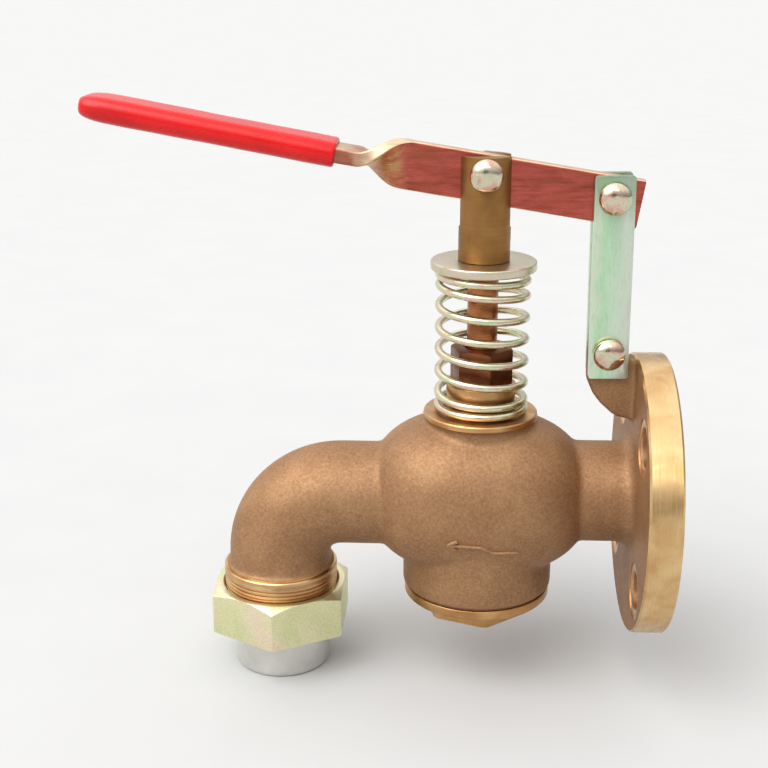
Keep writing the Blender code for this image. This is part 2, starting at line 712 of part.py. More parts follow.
def build_pin(name, place, half_grip, eye_way, pivot):
    """Domed pin with a plain washer and a split pin on the far side.

    eye_way is 1 where the split pin's eye is above the pin and -1 where it is below.
    """
    material = make_material(name, (0.78, 0.76, 0.66), 0.2, 1.0)
    head = half_grip + GAP
    tail = half_grip + PIN_TAIL
    crown = PIN_HEAD_HEIGHT - PIN_HEAD_RIM
    profile = [(0.0, -tail), (PIN_RADIUS - MM, -tail), (PIN_RADIUS, -tail + MM), (PIN_RADIUS, head)]
    profile += [(PIN_HEAD_RADIUS, head), (PIN_HEAD_RADIUS, head + PIN_HEAD_RIM)]
    for step in range(1, 5):
        angle = math.radians(90.0 * step / 5)
        dome = head + PIN_HEAD_RIM + crown * math.sin(angle)
        profile.append((PIN_HEAD_RADIUS * math.cos(angle), dome))
    profile.append((0.0, head + PIN_HEAD_HEIGHT))
    pin = make_object(name, turned(profile, place, SMALL_ROUND, "Y"), material, pivot)
    washer_back = head + PIN_WASHER_THICKNESS
    washer_bore = PIN_RADIUS + GAP
    washer = ring(PIN_WASHER_RADIUS, washer_bore, -washer_back, -head, place, SMALL_ROUND, "Y")
    make_object(f"{name}_washer", washer, material, pivot)
    cotter_place = Vector((place.x, washer_back + GAP + COTTER_RADIUS, place.z))
    reach = PIN_RADIUS + 4.0 * MM
    cut(pin, rod(COTTER_RADIUS + GAP, -reach, reach, cotter_place, 10))
    build_cotter(f"{name}_cotter", cotter_place, eye_way, pivot)


def build_cotter(name, place, eye_way, pivot):
    """Split pin: a shank through the pin, an eye on one end and a bent leg on the other."""
    material = make_material(name, (0.60, 0.58, 0.52), 0.35, 1.0)
    shank = PIN_RADIUS + COTTER_OVERHANG
    cotter = make_object(name, rod(COTTER_RADIUS, -shank, shank, place, 8), material, pivot)
    eye = arc((COTTER_EYE_RADIUS, 0.0), COTTER_RADIUS, 0.0, 300.0, 5)
    eye_place = place + Vector((0.0, 0.0, eye_way * (shank + COTTER_OVERHANG)))
    join(cotter, turned(eye, eye_place, 10, "Y"))
    leg_radius = 0.9 * COTTER_RADIUS
    leg_place = place - Vector((0.0, 0.0, eye_way * (shank - leg_radius)))
    join(cotter, rod(leg_radius, -0.4 * MM, COTTER_LEG, leg_place, 8, "X"))


def build_links(pivot):
    """Two straight plates, one on each side of the lug and the lever."""
    along = (LINK_PIN - LUG_PIN).normalized()
    across = Vector((along.z, 0.0, -along.x))
    low = LUG_PIN - along * LINK_LOW_MARGIN
    high = LINK_PIN + along * LINK_HIGH_MARGIN
    half = LINK_WIDTH / 2.0
    outline = []
    for end, way in ((low, -1.0), (high, 1.0)):
        for side in (-way, way):
            tip = end - across * (side * half)
            pair = [tip - along * (way * LINK_CORNER), tip + across * (side * LINK_CORNER)]
            if side == way:
                pair.reverse()
            outline += [(point.x, point.z) for point in pair]
    for name, way in (("link_front", -1.0), ("link_rear", 1.0)):
        material = make_material(name, (0.55, 0.62, 0.52), 0.3, 1.0)
        builder = plate(outline, LINK_THICKNESS / 2.0)
        offset = Vector((0.0, way * (SLOT_HALF_WIDTH + LINK_THICKNESS / 2.0), 0.0))
        bmesh.ops.translate(builder, verts=builder.verts, vec=offset)
        link = make_object(name, builder, material, pivot)
        for pin in (LINK_PIN, LUG_PIN):
            cut(link, rod(PIN_HOLE_RADIUS, -15.0 * MM, 15.0 * MM, pin, SMALL_ROUND, "Y"))


def lever_centre(x):
    """Point of the lever's centre line at x; the grip's part is a little steeper."""
    z = LEVER_LINE_Z + (LEVER_LINE_X - x) * math.tan(LEVER_SLOPE)
    if x < GRIP_RIGHT_X:
        bend_z = LEVER_LINE_Z + (LEVER_LINE_X - GRIP_RIGHT_X) * math.tan(LEVER_SLOPE)
        z = bend_z + (GRIP_RIGHT_X - x) * math.tan(GRIP_SLOPE)
    return Vector((x, 0.0, z))


def bar_section(centre, slope, width, thickness, corner, turn):
    """Rounded oblong across the lever; turn 0 stands on edge, 90 degrees lies flat."""
    upright = Vector((math.sin(slope), 0.0, math.cos(slope)))
    sideways = Vector((0.0, 1.0, 0.0))
    wide = upright * math.cos(turn) + sideways * math.sin(turn)
    thin = sideways * math.cos(turn) - upright * math.sin(turn)
    section = []
    for quarter in range(4):
        corner_w = (width / 2.0 - corner) * (1.0 if quarter in (0, 3) else -1.0)
        corner_t = (thickness / 2.0 - corner) * (1.0 if quarter in (0, 1) else -1.0)
        for step in range(CORNER_STEPS + 1):
            angle = math.radians(90.0 * (quarter + step / CORNER_STEPS))
            along_w = corner_w + corner * math.cos(angle)
            along_t = corner_t + corner * math.sin(angle)
            section.append(centre + wide * along_w + thin * along_t)
    return section


def build_lever(pivot):
    material = make_material("lever", (0.52, 0.20, 0.14), 0.3, 1.0)
    stations = [(LEVER_RIGHT_X, 0.0), (TWIST_START_X, 0.0)]
    twist_steps = 8
    for step in range(1, twist_steps + 1):
        share = step / twist_steps
        ease = share * share * (3.0 - 2.0 * share)
        x = TWIST_START_X + (TWIST_END_X - TWIST_START_X) * share
        stations.append((x, ease * math.radians(90.0)))
    stations += [(GRIP_RIGHT_X, math.radians(90.0)), (LEVER_LEFT_X, math.radians(90.0))]
    sections = []
    for x, turn in stations:
        slope = GRIP_SLOPE if x < GRIP_RIGHT_X else LEVER_SLOPE
        centre = lever_centre(x)
        sections.append(bar_section(centre, slope, LEVER_WIDTH, LEVER_THICKNESS, LEVER_EDGE, turn))
    lever = make_object("lever", swept(sections), material, pivot)
    cut(lever, rod(PIN_HOLE_RADIUS, -15.0 * MM, 15.0 * MM, FORK_PIN, SMALL_ROUND, "Y"))
    cut(lever, rod(OPEN_PIVOT_RADIUS, -15.0 * MM, 15.0 * MM, LINK_PIN, SMALL_ROUND, "Y"))


def build_grip(pivot):
    """Dipped plastic sleeve: outer skin from its closed tip to its mouth, then back inside."""
    material = make_material("grip", (0.72, 0.02, 0.02), 0.25, 0.0)
    flat = math.radians(90.0)
    length = GRIP_RIGHT_X - GRIP_LEFT_X
    tip = [(1.0, 0.62), (0.98, 0.84), (0.95, 0.95), (0.90, 1.0)]
    mouth = [(0.04, 1.0), (0.012, 0.96), (0.0, 0.90)]
    sections = []
    for share, scale in tip + mouth:
        centre = lever_centre(GRIP_RIGHT_X - length * share)
        width = GRIP_WIDTH - GRIP_THICKNESS * (1.0 - scale)
        thickness = GRIP_THICKNESS * scale
        sections.append(bar_section(centre, GRIP_SLOPE, width, thickness, 0.48 * thickness, flat))
    clear = 2.0 * GAP
    for x in (GRIP_RIGHT_X, LEVER_LEFT_X - GAP):
        centre = lever_centre(x)
        width = LEVER_WIDTH + clear
        thickness = LEVER_THICKNESS + clear
        sections.append(bar_section(centre, GRIP_SLOPE, width, thickness, LEVER_EDGE + GAP, flat))
    make_object("grip", swept(sections), material, pivot)


# ---------------------------------------------------------------- bottom cap and outlet union

def build_bottom_cap():
    material = make_material("bottom_cap", (0.62, 0.42, 0.20), 0.35, 1.0)
    centre = (STEM_X, 0.0, 0.0)
    spigot = CAP_HOLE_RADIUS - GAP
    boss = 20.0 * MM                # stub that the hexagon grows from
    profile = [
        (0.0, CAP_POCKET_BOTTOM_Z),
        (CAP_POCKET_RADIUS, CAP_POCKET_BOTTOM_Z),
        (CAP_POCKET_RADIUS, CAP_SPIGOT_TOP_Z),
        (spigot, CAP_SPIGOT_TOP_Z),
        (spigot, CAP_RING_TOP_Z),
        (CAP_RING_RADIUS, CAP_RING_TOP_Z),
        (CAP_RING_RADIUS, CAP_RING_BOTTOM_Z + CAP_RING_EDGE),
        (CAP_RING_RADIUS - CAP_RING_EDGE, CAP_RING_BOTTOM_Z),
        (boss, CAP_RING_BOTTOM_Z),
        (boss, CAP_RING_BOTTOM_Z - MM),
        (0.0, CAP_RING_BOTTOM_Z - MM),
    ]
    cap = make_object("bottom_cap", turned(profile, centre), material)
    hex_top = CAP_RING_BOTTOM_Z + 1.5 * MM
    join(cap, rod(CAP_HEX_RADIUS, CAP_BOTTOM_Z, hex_top, centre, 6, "Z", CAP_HEX_TURN))
    gasket_material = make_material("cap_gasket", (0.08, 0.06, 0.05), 0.7, 0.0)
    outer = CAP_RING_RADIUS - GASKET_INSET
    inner = CAP_HOLE_RADIUS + GAP
    gasket = ring(outer, inner, CAP_RING_TOP_Z + GAP, SKIRT_BOTTOM_Z - GAP, centre)
    make_object("cap_gasket", gasket, gasket_material)


def build_union(nut_pivot):
    centre = (OUTLET_X, 0.0, 0.0)
    nut_material = make_material("union_nut", (0.60, 0.56, 0.36), 0.35, 1.0)
    flat = NUT_RADIUS * math.cos(math.radians(30.0))
    wide = NUT_RADIUS + MM
    drop = (wide - flat) * math.tan(math.radians(30.0))
    bore = THREAD_RADIUS + GAP
    low_bore = TAIL_RADIUS + 0.5 * MM
    profile = [
        (wide, NUT_BOTTOM_Z),
        (wide, NUT_TOP_Z - drop),
        (flat, NUT_TOP_Z),
        (bore, NUT_TOP_Z),
        (bore, NUT_SHOULDER_Z),
        (low_bore, NUT_SHOULDER_Z),
        (low_bore, NUT_BOTTOM_Z),
    ]
    nut = make_object("union_nut", turned(profile, centre), nut_material, nut_pivot)
    keep_common(nut, rod(NUT_RADIUS, NUT_BOTTOM_Z - MM, NUT_TOP_Z + MM, centre, 6, "Z", NUT_TURN))
    tail_material = make_material("tailpiece", (0.42, 0.41, 0.40), 0.45, 1.0)
    edge = 1.0 * MM
    flange_bottom = NUT_SHOULDER_Z + GAP
    tail = [
        (TAIL_FLANGE_RADIUS, TAIL_FLANGE_TOP_Z),
        (BORE_RADIUS, TAIL_FLANGE_TOP_Z),
        (BORE_RADIUS, TAIL_BOTTOM_Z),
        (TAIL_RADIUS - edge, TAIL_BOTTOM_Z),
        (TAIL_RADIUS, TAIL_BOTTOM_Z + edge),
        (TAIL_RADIUS, flange_bottom),
        (TAIL_FLANGE_RADIUS, flange_bottom),
    ]
    make_object("tailpiece", turned(tail, centre), tail_material)
    gasket_material = make_material("union_gasket", (0.08, 0.06, 0.05), 0.7, 0.0)
    outer = TAIL_FLANGE_RADIUS - GASKET_INSET
    inner = BORE_RADIUS + 0.5 * MM
    gasket = ring(outer, inner, TAIL_FLANGE_TOP_Z + GAP, UNION_GASKET_TOP_Z, centre)
    make_object("union_gasket", gasket, gasket_material)


# ---------------------------------------------------------------- assembly

def main():
    for leftover in list(bpy.data.objects):
        bpy.data.objects.remove(leftover)
    stem_pivot = make_pivot("stem_lift_axis", (STEM_X, 0.0, 0.0))
    lever_pivot = make_pivot("lever_axis", FORK_PIN)
    link_pivot = make_pivot("link_axis", LUG_PIN)
    nut_pivot = make_pivot("union_nut_axis", (OUTLET_X, 0.0, 0.0))

    build_body()
    build_seat_ring()
    build_stem(stem_pivot)
    build_gland()
    build_spring()
    build_spring_washer(stem_pivot)
    build_fork_head(stem_pivot)
    build_pin("fork_pin", FORK_PIN, FORK_RADIUS, -1.0, stem_pivot)
    build_pin("link_pin", LINK_PIN, SLOT_HALF_WIDTH + LINK_THICKNESS, -1.0, link_pivot)
    build_pin("lug_pin", LUG_PIN, SLOT_HALF_WIDTH + LINK_THICKNESS, 1.0, None)
    build_links(link_pivot)
    build_lever(lever_pivot)
    build_grip(lever_pivot)
    build_bottom_cap()
    build_union(nut_pivot)


main()
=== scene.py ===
"""Looks of the self-closing drain valve: fine shapes, materials, light and camera.

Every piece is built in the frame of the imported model, in metres: the origin is the centre of
the inlet flange's mating face, +X points out of it and +Z points up along the stem.
"""

import json
import math

import bmesh
import bpy
import numpy as np
from mathutils import Matrix, Vector


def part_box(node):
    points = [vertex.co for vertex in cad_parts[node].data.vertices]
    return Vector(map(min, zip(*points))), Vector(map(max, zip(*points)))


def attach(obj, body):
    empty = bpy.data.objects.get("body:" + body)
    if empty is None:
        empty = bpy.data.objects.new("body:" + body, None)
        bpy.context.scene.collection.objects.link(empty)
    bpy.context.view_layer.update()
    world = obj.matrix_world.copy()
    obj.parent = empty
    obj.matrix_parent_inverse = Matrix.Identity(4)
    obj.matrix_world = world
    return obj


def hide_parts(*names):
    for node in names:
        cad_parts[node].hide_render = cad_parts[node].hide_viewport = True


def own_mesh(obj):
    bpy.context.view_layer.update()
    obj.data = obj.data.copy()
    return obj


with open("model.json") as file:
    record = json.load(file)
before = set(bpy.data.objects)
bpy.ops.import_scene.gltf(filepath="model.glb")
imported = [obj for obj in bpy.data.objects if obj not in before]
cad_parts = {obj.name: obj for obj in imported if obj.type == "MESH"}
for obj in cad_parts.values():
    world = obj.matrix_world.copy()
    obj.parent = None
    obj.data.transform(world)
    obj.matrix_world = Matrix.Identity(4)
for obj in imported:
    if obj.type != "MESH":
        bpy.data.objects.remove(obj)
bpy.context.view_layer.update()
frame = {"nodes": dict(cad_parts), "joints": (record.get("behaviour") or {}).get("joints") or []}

MM = 0.001
AROUND = 96                          # segments of a large turned piece
FINE_AROUND = 48                     # segments of pins and small holes
VOXEL = 0.8 * MM                     # grain of the remeshed casting
RELAX_ROUNDS = 14                    # smoothing that gives the casting its fillets

# Places and sizes that the frame gives
JOINTS = {joint["name"]: joint for joint in frame["joints"]}
FORK_PIN = Vector(JOINTS["lever_hinge"]["pos_m"])
LUG_PIN = Vector(JOINTS["link_swing"]["pos_m"])
STEM_X = FORK_PIN.x
OUTLET_X = JOINTS["union_nut_turn"]["pos_m"][0]
STEM_AXIS = (STEM_X, 0.0, 0.0)
OUTLET_AXIS = (OUTLET_X, 0.0, 0.0)


def low(node):
    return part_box(node)[0]


def high(node):
    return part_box(node)[1]


def middle(node):
    return (low(node) + high(node)) / 2.0


LINK_PIN = Vector((middle("link_pin").x, 0.0, middle("link_pin").z))
FLANGE_RADIUS = high("body").y
FLANGE_BACK = -16.0 * MM
BOLT_CIRCLE_RADIUS = 52.5 * MM
BOLT_HOLE_RADIUS = 9.5 * MM
SPOT_FACE_RADIUS = 14.0 * MM
SPOT_FACE_DEPTH = 0.5 * MM
BORE_RADIUS = 20.0 * MM
NECK_RADIUS = 25.3 * MM
GLOBE_Z = -2.5 * MM
GLOBE_RADIUS = 56.5 * MM
GLOBE_DEPTH_SHARE = 0.733
GLOBE_LOW_HEIGHT = 38.6 * MM
GLOBE_TOP_HEIGHT = 42.5 * MM
GLOBE_SQUARENESS = 2.4
GLOBE_END_RADIUS = 12.0 * MM
BONNET_NECK_RADIUS = 26.8 * MM
SKIRT_RADIUS = 37.8 * MM
SKIRT_BOTTOM_Z = -48.8 * MM
COLLAR_RADIUS = 28.0 * MM
COLLAR_TOP_Z = 42.5 * MM
GLAND_NECK_RADIUS = 17.0 * MM
NECK_TOP_Z = 57.0 * MM
LUG_EYE_RADIUS = 10.0 * MM
LUG_TOP_Z = 71.0 * MM
ELBOW_TUBE_RADIUS = 26.0 * MM
ELBOW_BEND_RADIUS = 32.0 * MM
ELBOW_AXIS_Z = -3.0 * MM
THREAD_RADIUS = 29.0 * MM
THREAD_TOP_Z = -41.8 * MM
THREAD_BOTTOM_Z = low("body").z
THREAD_PITCH = 2.0 * MM
THREAD_DEPTH = 0.9 * MM
LINK_FOOT = 12.4 * MM                # plate below the lug pin
LINK_HEAD = 10.4 * MM                # plate above the link pin
LEVER_SLOPE = math.radians(9.2)
GRIP_SLOPE = math.radians(10.5)
LEVER_WIDTH = 23.0 * MM
LEVER_THICKNESS = 7.0 * MM


# ---------------------------------------------------------------- mesh helpers

def as_object(name, builder, materials, angle=35.0):
    """Turn a bmesh into a smooth-shaded object in world coordinates."""
    bmesh.ops.remove_doubles(builder, verts=builder.verts, dist=0.002 * MM)
    bmesh.ops.recalc_face_normals(builder, faces=builder.faces)
    mesh = bpy.data.meshes.new(name)
    builder.to_mesh(mesh)
    builder.free()
    for material in materials:
        mesh.materials.append(material)
    shade(mesh, angle)
    piece = bpy.data.objects.new(name, mesh)
    bpy.context.scene.collection.objects.link(piece)
    return piece


def shade(mesh, angle=35.0):
    mesh.shade_smooth()
    mesh.set_sharp_from_angle(angle=math.radians(angle))


def show(piece, body, slot, *nodes):
    """The piece rides on a body and stands for the given CAD nodes."""
    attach(piece, body)
    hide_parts(*nodes)
    return piece


def turned(profile, centre, segments=AROUND, axis="Z", turn=0.0, builder=None):
    """Solid of revolution from (radius, height) points; a profile off the axis closes on itself."""
    builder = builder or bmesh.new()
    place = Matrix.Translation(centre)
    if axis == "X":
        place = place @ Matrix.Rotation(math.radians(90.0), 4, "Y")
    elif axis == "Y":
        place = place @ Matrix.Rotation(math.radians(90.0), 4, "X")
    rings = []
    for radius, height in profile:
        if radius == 0.0:
            rings.append([builder.verts.new(place @ Vector((0.0, 0.0, height)))] * segments)
            continue
        ring = []
        for step in range(segments):
            angle = turn + step * math.tau / segments
            point = Vector((radius * math.cos(angle), radius * math.sin(angle), height))
            ring.append(builder.verts.new(place @ point))
        rings.append(ring)
    closed = profile[0][0] != 0.0
    count = len(rings)
    for index in range(count if closed else count - 1):
        lower = rings[index]
        upper = rings[(index + 1) % count]
        for step in range(segments):
            following = (step + 1) % segments
            corners = [lower[step], lower[following], upper[following], upper[step]]
            builder.faces.new(list(dict.fromkeys(corners)))
    return builder


def rod(radius, bottom, top, centre, segments=FINE_AROUND, axis="Z", turn=0.0, builder=None):
    profile = [(0.0, bottom), (radius, bottom), (radius, top), (0.0, top)]
    return turned(profile, centre, segments, axis, turn, builder)


def swept(sections, builder=None):
    """Solid through closed sections with equal point counts, capped at its ends."""
    builder = builder or bmesh.new()
    rings = [[builder.verts.new(point) for point in section] for section in sections]
    count = len(rings[0])
    for lower, upper in zip(rings, rings[1:]):
        for step in range(count):
            following = (step + 1) % count
            builder.faces.new([lower[step], lower[following], upper[following], upper[step]])
    builder.faces.new(rings[0])
    builder.faces.new(rings[-1])
    return builder


def plate(outline, half_thickness, centre_y=0.0, builder=None):
    """Flat piece parallel to the XZ plane from (x, z) points."""
    builder = builder or bmesh.new()
    front = [builder.verts.new((x, centre_y - half_thickness, z)) for x, z in outline]
    back = [builder.verts.new((x, centre_y + half_thickness, z)) for x, z in outline]
    builder.faces.new(front)
    builder.faces.new(back)
    count = len(outline)
    for index in range(count):
        following = (index + 1) % count
        builder.faces.new([front[index], front[following], back[following], back[index]])
    return builder


def arc(centre, radius, start, end, steps):
    """Points of a circular arc, angles in degrees."""
    points = []
    for step in range(steps + 1):
        angle = math.radians(start + (end - start) * step / steps)
        points.append((centre[0] + radius * math.cos(angle), centre[1] + radius * math.sin(angle)))
    return points


def block(low_corner, high_corner):
    builder = bmesh.new()
    bmesh.ops.create_cube(builder, size=1.0)
    centre = (Vector(low_corner) + Vector(high_corner)) / 2.0
    size = Vector(high_corner) - Vector(low_corner)
    for vertex in builder.verts:
        vertex.co = Vector(co * s for co, s in zip(vertex.co, size)) + centre
    return builder


def bake_modifiers(piece):
    """Replace the mesh by its evaluated form."""
    bpy.context.view_layer.update()
    evaluated = piece.evaluated_get(bpy.context.evaluated_depsgraph_get())
    mesh = bpy.data.meshes.new_from_object(evaluated)
    piece.modifiers.clear()
    spent = piece.data
    piece.data = mesh
    bpy.data.meshes.remove(spent)


def combine(piece, builder, operation="DIFFERENCE", slot=0, solver="MANIFOLD"):
    """Boolean with a solid; new faces take the piece's material of the given slot."""
    tool = as_object("tool", builder, piece.data.materials)
    for polygon in tool.data.polygons:
        polygon.material_index = slot
    modifier = piece.modifiers.new("Cut", "BOOLEAN")
    modifier.operation = operation
    modifier.solver = solver
    modifier.object = tool
    bake_modifiers(piece)
    bpy.data.objects.remove(tool)


def soften(piece, width, segments=3, angle=30.0):
    """Bevel a piece's sharp edges."""
    modifier = piece.modifiers.new("Bevel", "BEVEL")
    modifier.width = width
    modifier.segments = segments
    modifier.limit_method = "ANGLE"
    modifier.angle_limit = math.radians(angle)
    modifier.harden_normals = False
    bake_modifiers(piece)
    shade(piece.data, 50.0)


def relax(mesh, rounds):
    """Average each vertex with its neighbours, which rounds edges and fills corners."""
    count = len(mesh.vertices)
    points = np.empty(count * 3)
    mesh.vertices.foreach_get("co", points)
    points = points.reshape(-1, 3)
    edges = np.empty(len(mesh.edges) * 2, dtype=np.int64)
    mesh.edges.foreach_get("vertices", edges)
    first, second = edges.reshape(-1, 2).T
    degree = np.bincount(first, minlength=count) + np.bincount(second, minlength=count)
    for _ in range(rounds):
        total = np.zeros_like(points)
        for column in range(3):
            total[:, column] += np.bincount(first, points[second, column], minlength=count)
            total[:, column] += np.bincount(second, points[first, column], minlength=count)
        points += 0.5 * (total / degree[:, None] - points)
    mesh.vertices.foreach_set("co", points.ravel())
    mesh.update()


# ---------------------------------------------------------------- materials

def tone(red, green, blue):
    """Linear colour from display values between 0 and 255."""
    values = []
    for value in (red, green, blue):
        share = value / 255.0
        values.append(share / 12.92 if share <= 0.04045 else ((share + 0.055) / 1.055) ** 2.4)
    return (*values, 1.0)


class Nodes:
    """Shorthand for a node tree."""

    def __init__(self, tree):
        self.tree = tree

    def add(self, kind):
        return self.tree.nodes.new(kind)

    def feed(self, socket, value):
        if isinstance(value, bpy.types.NodeSocket):
            self.tree.links.new(value, socket)
        else:
            socket.default_value = value

    def maths(self, operation, first, second=0.0):
        node = self.add("ShaderNodeMath")
        node.operation = operation
        self.feed(node.inputs[0], first)
        self.feed(node.inputs[1], second)
        return node.outputs[0]

    def total(self, *shares):
        """Sum of (value, weight) pairs."""
        parts = [self.maths("MULTIPLY", value, weight) for value, weight in shares]
        result = parts[0]
        for part in parts[1:]:
            result = self.maths("ADD", result, part)
        return result

    def span(self, value, from_low, from_high, to_low=0.0, to_high=1.0, kind="LINEAR"):
        node = self.add("ShaderNodeMapRange")
        node.interpolation_type = kind
        node.inputs["From Min"].default_value = from_low
        node.inputs["From Max"].default_value = from_high
        node.inputs["To Min"].default_value = to_low
        node.inputs["To Max"].default_value = to_high
        self.feed(node.inputs["Value"], value)
        return node.outputs["Result"]

    def parts(self, vector):
        """X, Y and Z of a vector."""
        split = self.add("ShaderNodeSeparateXYZ")
        self.feed(split.inputs[0], vector)
        return split.outputs


class Finish(Nodes):
    """One material, with its textures in object coordinates."""

    def __init__(self, name, metallic, roughness):
        self.material = bpy.data.materials.new(name)
        self.material.use_nodes = True
        super().__init__(self.material.node_tree)
        self.shader = self.tree.nodes["Principled BSDF"]
        self.shader.inputs["Metallic"].default_value = metallic
        self.shader.inputs["Roughness"].default_value = roughness
        self.position = self.add("ShaderNodeTexCoord").outputs["Object"]

    def noise(self, size, detail=3.0, vector=None, roughness=0.5, distortion=0.0):
        """Noise whose lumps are about `size` metres across."""
        node = self.add("ShaderNodeTexNoise")
        self.feed(node.inputs["Vector"], vector or self.position)
        node.inputs["Scale"].default_value = 1.0 / size
        node.inputs["Detail"].default_value = detail
        node.inputs["Roughness"].default_value = roughness
        node.inputs["Distortion"].default_value = distortion
        return node.outputs["Fac"]

    def cells(self, size, vector=None):
        node = self.add("ShaderNodeTexVoronoi")
        self.feed(node.inputs["Vector"], vector or self.position)
        node.inputs["Scale"].default_value = 1.0 / size
        return node.outputs["Distance"]

    def ramp(self, value, *stops):
        """Colour ramp from stops of a place and a display colour."""
        node = self.add("ShaderNodeValToRGB")
        self.feed(node.inputs["Fac"], value)
        elements = node.color_ramp.elements
        while len(elements) < len(stops):
            elements.new(0.5)
        for element, (place, *display) in zip(elements, stops):
            element.position = place
            element.color = tone(*display)
        return node.outputs["Color"]

    def mix(self, share, first, second, blend="MIX"):
        node = self.add("ShaderNodeMix")
        node.data_type = "RGBA"
        node.blend_type = blend
        self.feed(node.inputs[0], share)
        self.feed(node.inputs[6], first)
        self.feed(node.inputs[7], second)
        return node.outputs[2]

    def stretched(self, scale, rotation=(0.0, 0.0, 0.0)):
        """Object coordinates turned and stretched, for grain with a direction."""
        node = self.add("ShaderNodeMapping")
        self.feed(node.inputs["Vector"], self.position)
        node.inputs["Rotation"].default_value = rotation
        node.inputs["Scale"].default_value = scale
        return node.outputs["Vector"]

    def lathe(self, centre, axis="Z"):
        """(radius, height, 0) about an axis, for turning marks."""
        offset = self.add("ShaderNodeVectorMath")
        offset.operation = "SUBTRACT"
        self.feed(offset.inputs[0], self.position)
        offset.inputs[1].default_value = centre
        parts = self.parts(offset.outputs[0])
        first, second, along = (parts[name] for name in {"X": "YZX", "Z": "XYZ"}[axis])
        radius = self.maths("SQRT", self.total((first, first), (second, second)))
        joined = self.add("ShaderNodeCombineXYZ")
        self.feed(joined.inputs[0], radius)
        self.feed(joined.inputs[1], along)
        return joined.outputs[0]

    def wandering_x(self, size, reach):
        """X of the point, shifted back and forth by noise so that a border drawn on it is soft."""
        wander = self.maths("MULTIPLY", self.maths("SUBTRACT", self.noise(size, 3.0), 0.5), reach)
        return self.maths("ADD", self.parts(self.position)["X"], wander)

    def bump(self, height, strength, distance):
        node = self.add("ShaderNodeBump")
        node.inputs["Strength"].default_value = strength
        node.inputs["Distance"].default_value = distance
        self.feed(node.inputs["Height"], height)
        return node.outputs["Normal"]

    def set(self, **inputs):
        names = {"colour": "Base Color", "roughness": "Roughness", "metallic": "Metallic", "normal": "Normal",
                 "coat": "Coat Weight", "coat_roughness": "Coat Roughness", "specular": "Specular IOR Level"}
        for key, value in inputs.items():
            self.feed(self.shader.inputs[names[key]], value)
        return self.material


def cast_bronze(name="cast_bronze"):
    """Shot-blasted sand casting: fine grain, small pits, faint blotches."""
    finish = Finish(name, 0.55, 0.5)
    blotch = finish.noise(18.0 * MM, 4.0, distortion=0.4)
    grain = finish.noise(1.2 * MM, 3.0, roughness=0.6)
    speck = finish.noise(0.28 * MM, 1.0)
    skin = finish.ramp(blotch, (0.30, 136, 98, 66), (0.52, 150, 112, 78), (0.75, 166, 128, 90))
    grainy = finish.ramp(grain, (0.30, 106, 72, 46), (0.55, 152, 114, 78), (0.80, 190, 152, 110))
    colour = finish.mix(0.4, skin, grainy)
    pits = finish.span(finish.cells(2.6 * MM), 0.0, 0.16, 1.0, 0.0)
    pit_zone = finish.span(finish.noise(5.0 * MM, 2.0), 0.55, 0.66)
    pitted = finish.maths("MULTIPLY", pits, pit_zone)
    colour = finish.mix(finish.maths("MULTIPLY", pitted, 0.55), colour, tone(96, 58, 34))
    coarse = finish.noise(2.6 * MM, 3.0)
    height = finish.total((coarse, 0.9), (grain, 0.5), (speck, 0.2), (pitted, -0.5))
    normal = finish.bump(height, 0.55, 0.22 * MM)
    roughness = finish.span(grain, 0.3, 0.8, 0.62, 0.5)
    return finish.set(colour=colour, normal=normal, roughness=roughness)


def machined(name, centre, axis, light, dark, roughness=0.22, groove=0.9, marks=0.35):
    """Turned metal: fine rings round the axis, slight tarnish clouds."""
    finish = Finish(name, 1.0, roughness)
    vector = finish.lathe(centre, axis)
    rings = finish.noise(groove * MM, 4.0, vector, 0.7)
    fine = finish.noise(0.22 * MM, 2.0, vector, 0.6)
    cloud = finish.noise(14.0 * MM, 3.0, distortion=0.5)
    colour = finish.ramp(cloud, (0.32, *dark), (0.68, *light))
    colour = finish.mix(finish.span(rings, 0.3, 0.7, 0.0, 0.3), colour, tone(*dark))
    normal = finish.bump(finish.total((rings, 0.7), (fine, 0.3)), marks, 0.08 * MM)
    wear = finish.span(rings, 0.3, 0.75, roughness - 0.04, roughness + 0.14)
    return finish.set(colour=colour, normal=normal, roughness=wear)


def passivated(name, stops, size=9.0, stretch=(1.0, 1.0, 1.0), rotation=(0.0, 0.0, 0.0),
               roughness=0.24, bump=0.2):
    """Zinc plate with an iridescent passivated film that drifts through the given tints."""
    finish = Finish(name, 1.0, roughness)
    vector = finish.stretched(stretch, rotation)
    drift = finish.noise(size * MM, 3.0, vector, 0.55, 0.8)
    colour = finish.ramp(drift, *stops)
    scratch_stretch = tuple(2.0 * share if share == 1.0 else share for share in stretch)
    scratch_vector = finish.stretched(scratch_stretch, rotation)
    scratch = finish.noise(1.6 * MM, 4.0, scratch_vector, 0.7)
    colour = finish.mix(finish.span(scratch, 0.45, 0.8, 0.0, 0.35), colour, tone(120, 96, 74))
    orange_peel = finish.noise(1.4 * MM, 2.0)
    normal = finish.bump(finish.total((scratch, 0.6), (orange_peel, 0.4)), bump, 0.1 * MM)
    rough = finish.span(scratch, 0.3, 0.8, roughness - 0.05, roughness + 0.16)
    return finish.set(colour=colour, normal=normal, roughness=rough)


